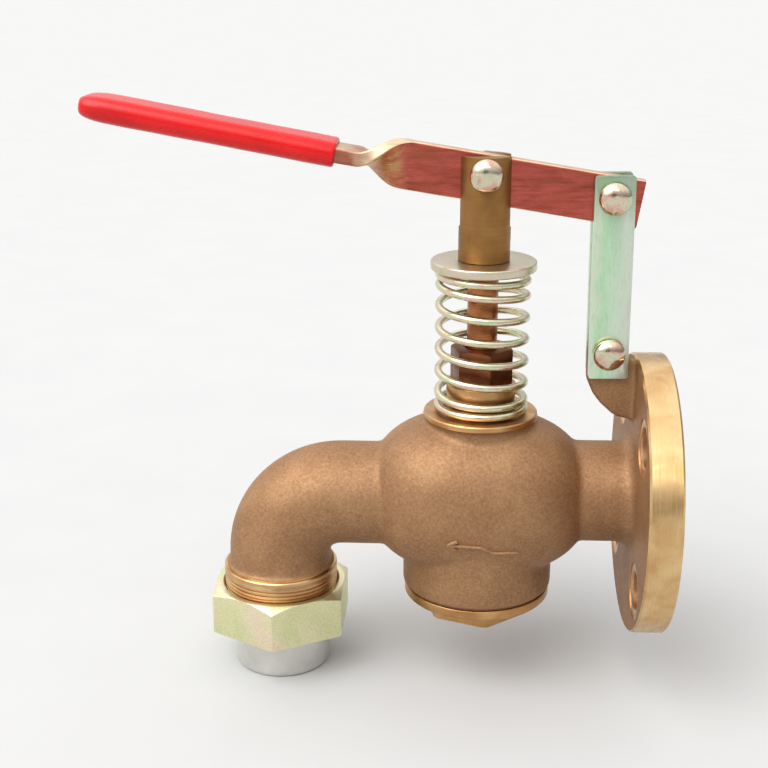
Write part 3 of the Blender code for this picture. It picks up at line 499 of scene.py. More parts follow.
def lever_film_and_painted_light(name, edge):
    """Passivated bar, pink and brown on its flats, with painted highlight and painted shade by which way a face
    turns: cream edges where they face up, brown edges where they face the front, golden flats on the twist, cream
    flats where they lie face up.
    """
    finish = Finish(name, 1.0, 0.36)
    place = finish.wandering_x(9.0 * MM, 16.0 * MM)
    turn = (0.0, -LEVER_SLOPE, 0.0)
    drift = finish.noise(9.0 * MM, 3.0, finish.stretched((0.35, 1.0, 1.0), turn), 0.55, 0.6)
    if edge:
        # painted highlight: cream on the edges, which face up along the upright part of the bar
        film = finish.ramp(drift, (0.3, 206, 168, 128), (0.5, 232, 204, 170), (0.72, 222, 182, 156))
        # painted shade: past the twist the edges face the front, so they turn brown there
        end = finish.span(place, -146.0 * MM, -154.0 * MM)
        film = finish.mix(end, film, finish.ramp(drift, (0.35, 150, 88, 70), (0.65, 184, 120, 98)))
    else:
        flat = finish.ramp(drift, (0.26, 148, 82, 60), (0.42, 170, 82, 68), (0.56, 186, 92, 80),
                           (0.72, 164, 88, 66))
        # painted highlight: golden where the flats turn upward on the twist
        twist = finish.ramp(drift, (0.3, 188, 100, 84), (0.48, 190, 128, 92), (0.66, 204, 168, 112))
        share = finish.span(place, -126.0 * MM, -138.0 * MM)
        film = finish.mix(share, flat, twist)
        # painted highlight: cream where the flats lie face up past the twist
        end = finish.span(place, -150.0 * MM, -156.0 * MM)
        film = finish.mix(end, film, tone(222, 196, 158))
    streak = finish.noise(1.5 * MM, 5.0, finish.stretched((0.09, 1.0, 1.0), turn), 0.75)
    fleck = finish.noise(0.9 * MM, 3.0, finish.stretched((0.5, 1.0, 1.0), turn), 0.7)
    shade_by = 0.3 if edge else 0.62
    film = finish.mix(finish.span(streak, 0.46, 0.7, 0.0, shade_by), film, tone(110, 56, 42))
    film = finish.mix(finish.span(fleck, 0.58, 0.78, 0.0, shade_by * 0.6), film, tone(92, 48, 38))
    normal = finish.bump(finish.total((streak, 0.6), (fleck, 0.4)), 0.35, 0.1 * MM)
    return finish.set(colour=film, normal=normal, roughness=finish.span(streak, 0.3, 0.8, 0.3, 0.5))


def link_film():
    """Zinc plate that runs from mint green on one long edge to grey on the other."""
    finish = Finish("link_film", 1.0, 0.3)
    place = finish.wandering_x(16.0 * MM, 14.0 * MM)
    share = finish.span(place, LUG_PIN.x - 8.0 * MM, LUG_PIN.x + 9.0 * MM)
    sheen = finish.ramp(share, (0.0, 206, 222, 196), (0.2, 184, 220, 182), (0.42, 192, 222, 190),
                        (0.68, 204, 220, 200), (1.0, 206, 214, 200))
    upper = finish.span(finish.parts(finish.position)["Z"], LINK_PIN.z - 12.0 * MM, LINK_PIN.z + 4.0 * MM)
    colour = finish.mix(finish.maths("MULTIPLY", upper, 0.55), sheen, tone(126, 150, 116))
    scratch = finish.noise(0.9 * MM, 4.0, finish.stretched((1.0, 1.0, 0.15)), 0.7)
    colour = finish.mix(finish.span(scratch, 0.5, 0.85, 0.0, 0.3), colour, tone(128, 138, 112))
    normal = finish.bump(scratch, 0.2, 0.06 * MM)
    return finish.set(colour=colour, normal=normal, roughness=finish.span(scratch, 0.3, 0.8, 0.26, 0.42))


def dark_fibre(name, dark=(26, 23, 21), light=(74, 66, 58)):
    """Gasket and packing: matt, slightly fibrous."""
    finish = Finish(name, 0.0, 0.8)
    vector = finish.stretched((1.0, 1.0, 4.0))
    fibre = finish.noise(0.6 * MM, 4.0, vector, 0.7)
    colour = finish.ramp(fibre, (0.3, *dark), (0.7, *light))
    return finish.set(colour=colour, normal=finish.bump(fibre, 0.5, 0.1 * MM))


def red_sleeve():
    """Glossy dipped plastic with a slightly uneven skin."""
    finish = Finish("red_sleeve", 0.0, 0.24)
    cloud = finish.noise(22.0 * MM, 3.0)
    colour = finish.ramp(cloud, (0.3, 190, 8, 10), (0.7, 212, 16, 16))
    scuff_vector = finish.stretched((0.3, 2.0, 2.0), (0.0, -GRIP_SLOPE, 0.0))
    scuff = finish.noise(1.1 * MM, 4.0, scuff_vector, 0.7)
    colour = finish.mix(finish.span(scuff, 0.62, 0.85, 0.0, 0.2), colour, tone(230, 70, 66))
    ripple = finish.noise(7.0 * MM, 2.0, finish.stretched((0.6, 1.0, 1.0)))
    peel = finish.noise(0.9 * MM, 2.0)
    normal = finish.bump(finish.total((ripple, 1.0), (peel, 0.08)), 0.35, 0.25 * MM)
    rough = finish.span(scuff, 0.3, 0.85, 0.2, 0.42)
    finish.set(coat=0.1, coat_roughness=0.12, specular=0.3)
    return finish.set(colour=colour, normal=normal, roughness=rough)


CAST = cast_bronze()
RIM_LIGHT = (226, 196, 146)
RIM_DARK = (196, 154, 102)
FLANGE_TURNED = machined("flange_turned", (0.0, 0.0, 0.0), "X", RIM_LIGHT, RIM_DARK, 0.22, 1.2, 0.22)
SPOT_FACED = passivated("spot_faced", (
    (0.3, 190, 150, 112), (0.5, 206, 166, 126), (0.7, 218, 182, 142)), 6.0, roughness=0.34, bump=0.08)
STEM_TURNED = machined("collar_turned", STEM_AXIS, "Z", (208, 168, 118), (176, 132, 86), 0.3)
OUTLET_TURNED = machined("thread_turned", OUTLET_AXIS, "Z", (216, 178, 130), (184, 142, 98), 0.26)
STEM_BRONZE = machined("stem_bronze", STEM_AXIS, "Z", (184, 122, 78), (142, 86, 52), 0.26, 0.5)
GLAND_BRONZE = machined("gland_bronze", STEM_AXIS, "Z", (140, 88, 58), (96, 56, 36), 0.36)
FORK_BRONZE = machined("fork_bronze", STEM_AXIS, "Z", (158, 118, 70), (136, 98, 56), 0.42, 1.6, 0.2)
CAP_BRONZE = machined("cap_bronze", STEM_AXIS, "Z", (204, 162, 108), (170, 124, 78), 0.3)
STEEL = machined("tail_steel", OUTLET_AXIS, "Z", (228, 227, 222), (208, 207, 202), 0.42, 0.7, 0.3)
TRIM = machined("trim_bronze", STEM_AXIS, "Z", (204, 162, 110), (166, 120, 74), 0.3)
FIBRE = dark_fibre("fibre")
CAP_FIBRE = dark_fibre("cap_fibre", (92, 56, 36), (134, 92, 62))

SPRING_FILM = passivated("spring_film", (
    (0.22, 184, 206, 168), (0.42, 214, 214, 182), (0.56, 222, 206, 178),
    (0.70, 214, 180, 170), (0.85, 196, 204, 158)), 12.0, roughness=0.2)
WASHER_FILM = passivated("washer_film", (
    (0.25, 196, 194, 156), (0.45, 212, 202, 176), (0.62, 216, 198, 182),
    (0.80, 190, 190, 150)), 14.0, roughness=0.28)
LINK_FILM = link_film()
# the lever's two materials carry painted highlight and painted shade by which way each face turns
LEVER_FILM_AND_PAINTED_LIGHT = lever_film_and_painted_light("lever_film_and_painted_light", False)
LEVER_EDGE_FILM_AND_PAINTED_LIGHT = lever_film_and_painted_light("lever_edge_film_and_painted_light", True)
PIN_FILM = passivated("pin_film", (
    (0.25, 188, 202, 170), (0.45, 214, 206, 178), (0.62, 214, 168, 152),
    (0.80, 194, 182, 138)), 7.0, roughness=0.12, bump=0.04)
NUT_FILM = passivated("nut_film", (
    (0.22, 216, 222, 168), (0.40, 222, 222, 174), (0.56, 232, 224, 186),
    (0.72, 240, 222, 194), (0.88, 216, 218, 166)), 26.0, (1.0, 1.0, 1.0), roughness=0.36, bump=0.25)
RED = red_sleeve()


# ---------------------------------------------------------------- casting

def globe_points(radius, low_height, top_height, steps):
    """Superellipse between two flat ends; the lower half is shallower than the upper."""
    share = (GLOBE_END_RADIUS / radius) ** GLOBE_SQUARENESS
    rise = (1.0 - share) ** (1.0 / GLOBE_SQUARENESS)
    start = math.atan2(-low_height * rise, GLOBE_END_RADIUS)
    end = math.atan2(top_height * rise, GLOBE_END_RADIUS)
    points = [(0.0, GLOBE_Z - low_height)]
    for step in range(steps + 1):
        angle = start + (end - start) * step / steps
        half_height = low_height if angle < 0.0 else top_height
        power = (math.cos(angle) / radius) ** GLOBE_SQUARENESS
        power += (abs(math.sin(angle)) / half_height) ** GLOBE_SQUARENESS
        reach = power ** (-1.0 / GLOBE_SQUARENESS)
        points.append((reach * math.cos(angle), GLOBE_Z + reach * math.sin(angle)))
    points.append((0.0, GLOBE_Z + top_height))
    return points


def globe_solid(radius, low_height, top_height, steps, segments):
    """Globe whose plan is a superellipse too: longer along the flow than across it."""
    solid = turned(globe_points(radius, low_height, top_height, steps), STEM_AXIS, segments)
    for vertex in solid.verts:
        x = vertex.co.x - STEM_X
        y = vertex.co.y
        distance = math.hypot(x, y)
        if distance > 0.0:
            power = (abs(x) / distance) ** GLOBE_SQUARENESS
            power += (abs(y) / (distance * GLOBE_DEPTH_SHARE)) ** GLOBE_SQUARENESS
            share = power ** (-1.0 / GLOBE_SQUARENESS)
            vertex.co.x = STEM_X + x * share
            vertex.co.y = y * share
    return solid


def on_globe(x, z):
    """Point of the globe's front surface."""
    half_height = GLOBE_LOW_HEIGHT if z < GLOBE_Z else GLOBE_TOP_HEIGHT
    power = (abs(x - STEM_X) / GLOBE_RADIUS) ** GLOBE_SQUARENESS
    power += (abs(z - GLOBE_Z) / half_height) ** GLOBE_SQUARENESS
    depth = GLOBE_RADIUS * GLOBE_DEPTH_SHARE * (1.0 - power) ** (1.0 / GLOBE_SQUARENESS)
    return Vector((x, -depth, z))


def elbow_sections(radius, start_x, end_z, segments, bend_steps=24):
    """Round sections from the globe, around the bend and down the outlet leg."""
    centre_x = OUTLET_X + ELBOW_BEND_RADIUS
    centre_z = ELBOW_AXIS_Z - ELBOW_BEND_RADIUS
    route = [(start_x, ELBOW_AXIS_Z, 0.0)]
    for step in range(bend_steps + 1):
        angle = math.radians(90.0 * step / bend_steps)
        x = centre_x - ELBOW_BEND_RADIUS * math.sin(angle)
        z = centre_z + ELBOW_BEND_RADIUS * math.cos(angle)
        route.append((x, z, angle))
    route.append((OUTLET_X, end_z, math.radians(90.0)))
    sections = []
    for x, z, angle in route:
        outward = Vector((-math.sin(angle), 0.0, math.cos(angle)))
        section = []
        for step in range(segments):
            around = step * math.tau / segments
            offset = outward * math.cos(around) + Vector((0.0, math.sin(around), 0.0))
            section.append(Vector((x, 0.0, z)) + offset * radius)
        sections.append(section)
    return sections


def lug_outline():
    inside = FLANGE_BACK + 3.0 * MM
    start = math.degrees(math.asin((LUG_TOP_Z - LUG_PIN.z) / LUG_EYE_RADIUS))
    outline = [(inside, LUG_TOP_Z)]
    outline += arc((LUG_PIN.x, LUG_PIN.z), LUG_EYE_RADIUS, start, 180.0, 24)
    outline += [(-40.0 * MM, 60.0 * MM), (-36.6 * MM, 52.2 * MM), (-32.5 * MM, 47.0 * MM)]
    outline += [(-25.7 * MM, 41.0 * MM), (inside, 37.5 * MM)]
    return outline


def rough_casting():
    """The casting as it leaves the sand: oversize where it is machined later."""
    spare = 1.5 * MM
    builder = bmesh.new()
    fillet = 6.0 * MM
    profile = [(0.0, spare), (FLANGE_RADIUS + spare, spare), (FLANGE_RADIUS + spare, FLANGE_BACK)]
    profile += arc((NECK_RADIUS + fillet, FLANGE_BACK - fillet), fillet, 90.0, 180.0, 10)
    profile += [(NECK_RADIUS, STEM_X + 30.0 * MM), (0.0, STEM_X + 30.0 * MM)]
    turned(profile, (0.0, 0.0, 0.0), 160, "X", builder=builder)
    profile = [(0.0, SKIRT_BOTTOM_Z - spare), (SKIRT_RADIUS, SKIRT_BOTTOM_Z - spare)]
    profile += [(SKIRT_RADIUS, -14.0 * MM), (BONNET_NECK_RADIUS, 0.0)]
    profile += [(BONNET_NECK_RADIUS, 38.6 * MM), (COLLAR_RADIUS + 0.2 * MM, 39.8 * MM)]
    profile += [(COLLAR_RADIUS + spare, 40.4 * MM), (COLLAR_RADIUS + spare, COLLAR_TOP_Z + spare)]
    profile += [(GLAND_NECK_RADIUS + spare, COLLAR_TOP_Z + spare)]
    profile += [(GLAND_NECK_RADIUS + spare, NECK_TOP_Z + spare)]
    profile += [(0.0, NECK_TOP_Z + spare)]
    turned(profile, STEM_AXIS, 160, builder=builder)
    solid = globe_solid(GLOBE_RADIUS, GLOBE_LOW_HEIGHT, GLOBE_TOP_HEIGHT, 60, 160)
    spare_mesh = bpy.data.meshes.new("globe")
    solid.to_mesh(spare_mesh)
    solid.free()
    builder.from_mesh(spare_mesh)
    bpy.data.meshes.remove(spare_mesh)
    swept(elbow_sections(ELBOW_TUBE_RADIUS, -128.0 * MM, -44.0 * MM, AROUND), builder)
    step_z = THREAD_TOP_Z + 0.6 * MM
    rod(THREAD_RADIUS + spare, THREAD_BOTTOM_Z - spare, step_z, OUTLET_AXIS, AROUND, builder=builder)
    plate(lug_outline(), 3.7 * MM, builder=builder)
    casting = as_object("casting", builder, [CAST, FLANGE_TURNED, STEM_TURNED, OUTLET_TURNED, SPOT_FACED])
    remesh = casting.modifiers.new("Remesh", "REMESH")
    remesh.mode = "VOXEL"
    remesh.voxel_size = VOXEL
    bake_modifiers(casting)
    relax(casting.data, RELAX_ROUNDS)
    return casting


def machine_flange(casting):
    """Face and rim, four bolt holes and their spot faces."""
    edge = 1.0 * MM
    wide = FLANGE_RADIUS + 6.0 * MM
    profile = [
        (0.0, 0.0),
        (FLANGE_RADIUS - edge, 0.0),
        (FLANGE_RADIUS, -edge),
        (FLANGE_RADIUS, FLANGE_BACK + edge),
        (FLANGE_RADIUS - 2.0 * edge, FLANGE_BACK - edge),
        (wide, FLANGE_BACK - edge),
        (wide, 6.0 * MM),
        (0.0, 6.0 * MM),
    ]
    combine(casting, turned(profile, (0.0, 0.0, 0.0), 160, "X"), slot=1)
    for quarter in range(4):
        angle = math.radians(45.0 + 90.0 * quarter)
        centre = Vector((0.0, math.cos(angle), math.sin(angle))) * BOLT_CIRCLE_RADIUS
        lead = 0.8 * MM
        back = FLANGE_BACK + SPOT_FACE_DEPTH
        hole = [
            (0.0, 4.0 * MM),
            (BOLT_HOLE_RADIUS + lead, 4.0 * MM),
            (BOLT_HOLE_RADIUS + lead, 0.0),
            (BOLT_HOLE_RADIUS, -lead),
            (BOLT_HOLE_RADIUS, back + lead),
            (BOLT_HOLE_RADIUS + lead, back),
            (SPOT_FACE_RADIUS, back),
            (SPOT_FACE_RADIUS, back - 6.0 * MM),
            (0.0, back - 6.0 * MM),
        ]
        combine(casting, turned(hole, centre, 64, "X"), slot=4)


def machine_bonnet(casting):
    """Spring seat, gland neck and the skirt's bottom face."""
    edge = 0.5 * MM
    wide = COLLAR_RADIUS + 8.0 * MM
    profile = [
        (0.0, NECK_TOP_Z),
        (GLAND_NECK_RADIUS - edge, NECK_TOP_Z),
        (GLAND_NECK_RADIUS, NECK_TOP_Z - edge),
        (GLAND_NECK_RADIUS, COLLAR_TOP_Z),
        (COLLAR_RADIUS - edge, COLLAR_TOP_Z),
        (COLLAR_RADIUS, COLLAR_TOP_Z - edge),
        (COLLAR_RADIUS, 40.0 * MM),
        (wide, 40.0 * MM),
        (wide, NECK_TOP_Z + 6.0 * MM),
        (0.0, NECK_TOP_Z + 6.0 * MM),
    ]
    combine(casting, turned(profile, STEM_AXIS, 128), slot=2)
    profile = [
        (0.0, SKIRT_BOTTOM_Z - 6.0 * MM),
        (SKIRT_RADIUS + 5.0 * MM, SKIRT_BOTTOM_Z - 6.0 * MM),
        (SKIRT_RADIUS + 5.0 * MM, SKIRT_BOTTOM_Z + 0.4 * MM),
        (SKIRT_RADIUS, SKIRT_BOTTOM_Z + 0.4 * MM),
        (SKIRT_RADIUS - edge, SKIRT_BOTTOM_Z),
        (0.0, SKIRT_BOTTOM_Z),
    ]
    combine(casting, turned(profile, STEM_AXIS, 128), slot=2)


def machine_thread(casting):
    """Male thread of the outlet, with a plain land above it and a lead below it."""
    wide = THREAD_RADIUS + 6.0 * MM
    root = THREAD_RADIUS - THREAD_DEPTH
    profile = [(0.0, THREAD_BOTTOM_Z), (root, THREAD_BOTTOM_Z)]
    turns = int((THREAD_TOP_Z - 2.6 * MM - THREAD_BOTTOM_Z) / THREAD_PITCH)
    crest_half = 0.30 * MM
    for turn in range(turns):
        level = THREAD_BOTTOM_Z + 1.2 * MM + turn * THREAD_PITCH
        profile += [(root, level - 0.15 * MM), (root, level + 0.15 * MM)]
        crest = level + THREAD_PITCH / 2.0
        profile += [(THREAD_RADIUS, crest - crest_half), (THREAD_RADIUS, crest + crest_half)]
    land = THREAD_TOP_Z - 2.0 * MM
    profile += [(root, land - 0.5 * MM), (root, land - 0.2 * MM), (THREAD_RADIUS - 0.2 * MM, land)]
    profile += [(THREAD_RADIUS, land + 0.2 * MM), (THREAD_RADIUS, THREAD_TOP_Z - 0.5 * MM)]
    profile += [(THREAD_RADIUS - 0.5 * MM, THREAD_TOP_Z), (27.6 * MM, THREAD_TOP_Z)]
    profile += [(27.6 * MM, THREAD_TOP_Z + 3.0 * MM), (wide, THREAD_TOP_Z + 3.0 * MM)]
    profile += [(wide, THREAD_BOTTOM_Z - 6.0 * MM), (0.0, THREAD_BOTTOM_Z - 6.0 * MM)]
    combine(casting, turned(profile, OUTLET_AXIS, 128), slot=3)


def hollow_casting(casting):
    """Waterway and bores, open where the real valve is open."""
    wide = 80.0 * MM
    left = STEM_X - 28.0 * MM
    right = STEM_X + 28.0 * MM
    wall = 6.0 * MM
    regions = [
        ((STEM_X - wide, -wide, 7.0 * MM), (right, wide, wide)),
        ((STEM_X - wide, -wide, -wide), (left - wall, wide, 6.0 * MM)),
        ((left, -wide, -wide), (STEM_X + wide, wide, 0.0)),
        ((right + wall, -wide, 1.0 * MM), (STEM_X + wide, wide, wide)),
    ]
    for low_corner, high_corner in regions:
        chamber = globe_solid(49.5 * MM, 31.1 * MM, 35.0 * MM, 20, 64)
        room = as_object("room", chamber, casting.data.materials)
        combine(room, block(low_corner, high_corner), "INTERSECT")
        builder = bmesh.new()
        builder.from_mesh(room.data)
        bpy.data.objects.remove(room)
        combine(casting, builder)
    outlet_slot = block((left - 20.0 * MM, -20.0 * MM, 4.0 * MM), (left - wall - MM, 20.0 * MM, 10.0 * MM))
    inlet_slot = block((right + wall + MM, -20.0 * MM, -3.0 * MM), (right + 14.0 * MM, 20.0 * MM, 3.0 * MM))
    combine(casting, outlet_slot)
    combine(casting, inlet_slot)
    combine(casting, rod(BORE_RADIUS, STEM_X + 37.0 * MM, 5.0 * MM, (0.0, 0.0, 0.0), 80, "X"))
    combine(casting, swept(elbow_sections(BORE_RADIUS, -129.0 * MM, -70.0 * MM, 64)))
    combine(casting, rod(31.0 * MM, -60.0 * MM, -26.0 * MM, STEM_AXIS, 96), slot=2)
    combine(casting, rod(24.0 * MM, -5.0 * MM, 12.0 * MM, STEM_AXIS, 64), slot=2)
    combine(casting, rod(9.5 * MM, 25.0 * MM, 45.0 * MM, STEM_AXIS), slot=2)
    combine(casting, rod(11.5 * MM, 40.0 * MM, 70.0 * MM, STEM_AXIS, 64), slot=2)
    combine(casting, rod(5.3 * MM, -10.0 * MM, 10.0 * MM, LUG_PIN, FINE_AROUND, "Y"), slot=2)


def build_body():
    casting = rough_casting()
    machine_flange(casting)
    machine_bonnet(casting)
    machine_thread(casting)
    hollow_casting(casting)
    shade(casting.data, 40.0)
    casting.name = "valve_casting"
    show(casting, "valve_body", "body", "body")


def bead(points, radius, segments=10):
    """Rounded raised stroke along points, closed at both ends."""
    sections = []
    count = len(points)
    for index, point in enumerate(points):
        before = points[max(index - 1, 0)]
        after = points[min(index + 1, count - 1)]
        along = (after - before).normalized()
        side = along.cross(Vector((0.0, 1.0, 0.0))).normalized()
        out = side.cross(along).normalized()
        shrink = 0.35 if index in (0, count - 1) else 1.0
        section = []
        for step in range(segments):
            angle = step * math.tau / segments
            section.append(point + (side * math.cos(angle) + out * math.sin(angle)) * radius * shrink)
        sections.append(section)
    return sections


def build_flow_arrow():
    """Cast arrow that shows the flow, with the jog of a globe valve's arrow."""
    strokes = [
        [(-72.0, -17.4), (-85.0, -17.2), (-90.0, -14.2), (-106.0, -13.4)],
        [(-106.5, -13.4), (-101.6, -10.6)],
        [(-106.5, -13.4), (-102.0, -16.4)],
    ]
    builder = bmesh.new()
    for stroke in strokes:
        xs, zs = zip(*stroke)
        lengths = [0.0]
        for index in range(1, len(stroke)):
            lengths.append(lengths[-1] + math.dist(stroke[index - 1], stroke[index]))
        points = []
        for distance in np.linspace(0.0, lengths[-1], 24):
            x = float(np.interp(distance, lengths, xs)) * MM
            z = float(np.interp(distance, lengths, zs)) * MM
            points.append(on_globe(x, z) + Vector((0.0, -0.25 * MM, 0.0)))
        swept(bead(points, 1.0 * MM), builder)
    arrow = as_object("flow_arrow", builder, [CAST], 60.0)
    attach(arrow, "valve_body")


# ---------------------------------------------------------------- stem, gland, spring

def build_stem():
    bottom = low("stem").z
    shoulder = high("spring_washer").z
    top = high("stem").z
    radius = (high("stem").x - low("stem").x) / 2.0
    hub = 6.0 * MM
    edge = 0.6 * MM
    profile = [
        (0.0, bottom), (hub - MM, bottom), (hub, bottom + MM), (hub, -2.8 * MM),
        (radius, -2.8 * MM), (radius, shoulder - edge), (radius - edge, shoulder),
        (5.9 * MM, shoulder), (5.9 * MM, top - MM), (4.9 * MM, top), (0.0, top),
    ]
    stem = as_object("stem_rod", turned(profile, STEM_AXIS, 64), [STEM_BRONZE])
    show(stem, "stem_group", "stem", "stem")


def build_gland_nut():
    """Gland nut: hexagon with turned-off corners and a chamfered top."""
    base = low("gland_nut").z
    top = high("gland_nut").z
    neck_top = NECK_TOP_Z + 0.3 * MM
    bore = 7.7 * MM
    spigot = 11.2 * MM
    profile = [
        (spigot, base), (spigot, neck_top), (15.0 * MM, neck_top), (16.4 * MM, neck_top + 0.8 * MM),
        (16.4 * MM, top - 1.4 * MM), (13.8 * MM, top), (bore + 0.8 * MM, top), (bore, top - 0.8 * MM), (bore, base),
    ]
    nut = as_object("gland_hexagon", turned(profile, STEM_AXIS, AROUND), [GLAND_BRONZE])
    hexagon = rod(15.6 * MM, base - MM, top + MM, STEM_AXIS, 6, "Z", math.radians(-75.0))
    combine(nut, hexagon, "INTERSECT")
    soften(nut, 0.25 * MM, 2)
    show(nut, "valve_body", "gland_nut", "gland_nut")


def spring_heights(turns, steps, bottom, top, wire):
    """Height of the wire's centre at each step: closed ends, open turns, eased in between."""
    pitch = 10.9 * MM
    inset = 1.3 * wire
    rest = (turns - (top - bottom - 2.0 * inset) / pitch) / 2.0
    marks = [0.0, 0.45, 1.0, rest, turns - rest, turns - 1.0, turns - 0.45, turns]
    rises = [0.0, 0.1 * wire, wire, inset]
    levels = [bottom + rise for rise in rises] + [top - rise for rise in reversed(rises)]
    heights = np.interp(np.linspace(0.0, turns, steps + 1), marks, levels)
    window = np.hanning(15)
    padded = np.pad(heights, 7, mode="edge")
    return np.convolve(padded, window / window.sum(), mode="valid")


def build_spring():
    """Round-wire compression spring with one closed turn at each end."""
    bottom_z = low("spring").z
    top_z = high("spring").z
    wire = 1.9 * MM
    radius = (high("spring").x - low("spring").x) / 2.0 - wire
    turns = 7.8
    start = math.radians(6.0)
    steps = 500
    sides = 16
    heights = spring_heights(turns, steps, bottom_z + wire, top_z - wire, 2.0 * wire + 0.3 * MM)
    sections = []
    for step, height in enumerate(heights):
        angle = start - math.tau * turns * step / steps
        outward = Vector((math.cos(angle), math.sin(angle), 0.0))
        centre = Vector((STEM_X, 0.0, height)) + outward * radius
        section = []
        for side in range(sides):
            around = side * math.tau / sides
            offset = outward * math.cos(around) + Vector((0.0, 0.0, math.sin(around)))
            section.append(centre + offset * wire)
        sections.append(section)
    spring = as_object("spring_wire", swept(sections), [SPRING_FILM], 60.0)
    show(spring, "valve_body", "spring", "spring")
    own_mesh(spring)


def build_spring_washer():
    bottom = low("spring_washer").z
    top = high("spring_washer").z
    radius = (high("spring_washer").x - low("spring_washer").x) / 2.0
    bore = 7.7 * MM
    edge = 0.5 * MM
    profile = [
        (bore, bottom + edge), (bore + edge, bottom), (radius - edge, bottom), (radius, bottom + edge),
        (radius, top - edge), (radius - edge, top), (bore + edge, top), (bore, top - edge),
    ]
    washer = as_object("spring_plate", turned(profile, STEM_AXIS, 128), [WASHER_FILM])
    soften(washer, 0.2 * MM, 2)
    show(washer, "stem_group", "spring_washer", "spring_washer")


# ---------------------------------------------------------------- lever gear

def build_fork():
    bottom = low("fork_head").z
    top = high("fork_head").z
    radius = (high("fork_head").y - low("fork_head").y) / 2.0
    slot_bottom = 134.0 * MM
    profile = [(0.0, bottom), (radius, bottom), (radius, top), (0.0, top)]
    fork = as_object("fork_block", turned(profile, STEM_AXIS, AROUND), [FORK_BRONZE])
    reach = radius + 5.0 * MM
    slot = block((STEM_X - reach, -4.0 * MM, slot_bottom), (STEM_X + reach, 4.0 * MM, top + 5.0 * MM))
    combine(fork, slot)
    combine(fork, rod(5.3 * MM, -20.0 * MM, 20.0 * MM, FORK_PIN, FINE_AROUND, "Y"))
    combine(fork, rod(6.2 * MM, bottom - 5.0 * MM, 130.5 * MM, STEM_AXIS))
    soften(fork, 0.55 * MM)
    show(fork, "stem_group", "fork_head", "fork_head")


def build_pin(node, place, body):
    """Domed pin with its washer and split pin."""
    front = -low(node).y
    tail = high(node).y
    radius = 5.0 * MM
    head_radius = (high(node).x - low(node).x) / 2.0
    head_height = 5.5 * MM
    seat = front - head_height
    side = 1.3 * MM
    profile = [(0.0, -tail), (radius - MM, -tail), (radius, -tail + MM), (radius, seat)]
    profile += [(head_radius - 0.5 * MM, seat), (head_radius - 0.1 * MM, seat + 0.3 * MM)]
    for step in range(13):
        angle = math.radians(90.0 * step / 13)
        squash = math.cos(angle) ** 0.85
        profile.append((head_radius * squash, seat + side + (head_height - side) * math.sin(angle)))
    profile.append((0.0, front))
    pin = as_object(f"{node}_dome", turned(profile, place, 64, "Y"), [PIN_FILM])
    show(pin, body, node, node)
    washer = f"{node}_washer"
    inner = 5.3 * MM
    outer = (high(washer).x - low(washer).x) / 2.0
    near = low(washer).y
    far = high(washer).y
    edge = 0.3 * MM
    ring = [
        (inner, -far), (outer - edge, -far), (outer, -far + edge),
        (outer, -near - edge), (outer - edge, -near), (inner, -near),
    ]
    plain = as_object(f"{node}_plain_washer", turned(ring, (place.x, 0.0, place.z), 64, "Y"), [PIN_FILM])
    show(plain, body, washer, washer)
    build_split_pin(node, place, body)


def build_split_pin(node, place, body):
    """Split pin of half-round wire: eye, two legs through the pin, ends bent apart."""
    cotter = f"{node}_cotter"
    y = middle(cotter).y
    above = high(cotter).z - place.z
    below = place.z - low(cotter).z
    way = 1.0 if above > below else -1.0
    wire = 0.6 * MM
    eye_radius = 2.0 * MM
    eye_z = max(above, below) - wire - eye_radius
    tip = min(above, below) - wire
    bend = 1.0 * MM
    shank = tip - bend
    builder = bmesh.new()
    for side in (-1.0, 1.0):
        lane = side * 0.42 * MM
        route = arc((0.0, eye_z), eye_radius, 90.0, 90.0 - side * 165.0, 12)
        route += [(lane, eye_z - 1.7 * eye_radius), (lane, 0.0), (lane, -shank)]
        for step in range(1, 5):
            angle = math.radians(75.0 * step / 4)
            route.append((lane + side * bend * (1.0 - math.cos(angle)), -shank - bend * math.sin(angle)))
        route.append((lane + side * 2.8 * MM, -tip))
        points = [Vector((place.x + x, y, place.z + way * z)) for x, z in route]
        swept(bead(points, wire, 8), builder)
    split = as_object(f"{node}_split", builder, [PIN_FILM], 60.0)
    show(split, body, cotter, cotter)


def build_links():
    along = (LINK_PIN - LUG_PIN).normalized()
    across = Vector((along.z, 0.0, -along.x))
    half = 9.5 * MM
    corner = 1.4 * MM
    outline = []
    for end, way in ((LUG_PIN - along * LINK_FOOT, -1.0), (LINK_PIN + along * LINK_HEAD, 1.0)):
        for side in (way, -way):
            pivot = end - along * (way * corner) + across * (side * (half - corner))
            for step in range(5):
                turn = math.radians(22.5 * (step if side == way else 4 - step))
                reach = across * (side * math.cos(turn)) + along * (way * math.sin(turn))
                point = pivot + reach * corner
                outline.append((point.x, point.z))
    for node in ("link_front", "link_rear"):
        centre_y = middle(node).y
        link = as_object(f"{node}_plate", plate(outline, 1.75 * MM, centre_y), [LINK_FILM])
        for pin in (LINK_PIN, LUG_PIN):
            combine(link, rod(5.3 * MM, -15.0 * MM, 15.0 * MM, pin, FINE_AROUND, "Y"))
        soften(link, 0.45 * MM)
        show(link, "link_group", node, node)


def lever_centre(x):
    """Point of the lever's centre line at x; the grip's part is a little steeper."""
    line_x = -43.0 * MM
    line_z = 149.5 * MM
    bend_x = -161.5 * MM
    z = line_z + (line_x - max(x, bend_x)) * math.tan(LEVER_SLOPE)
    if x < bend_x:
        z += (bend_x - x) * math.tan(GRIP_SLOPE)
    return Vector((x, 0.0, z))


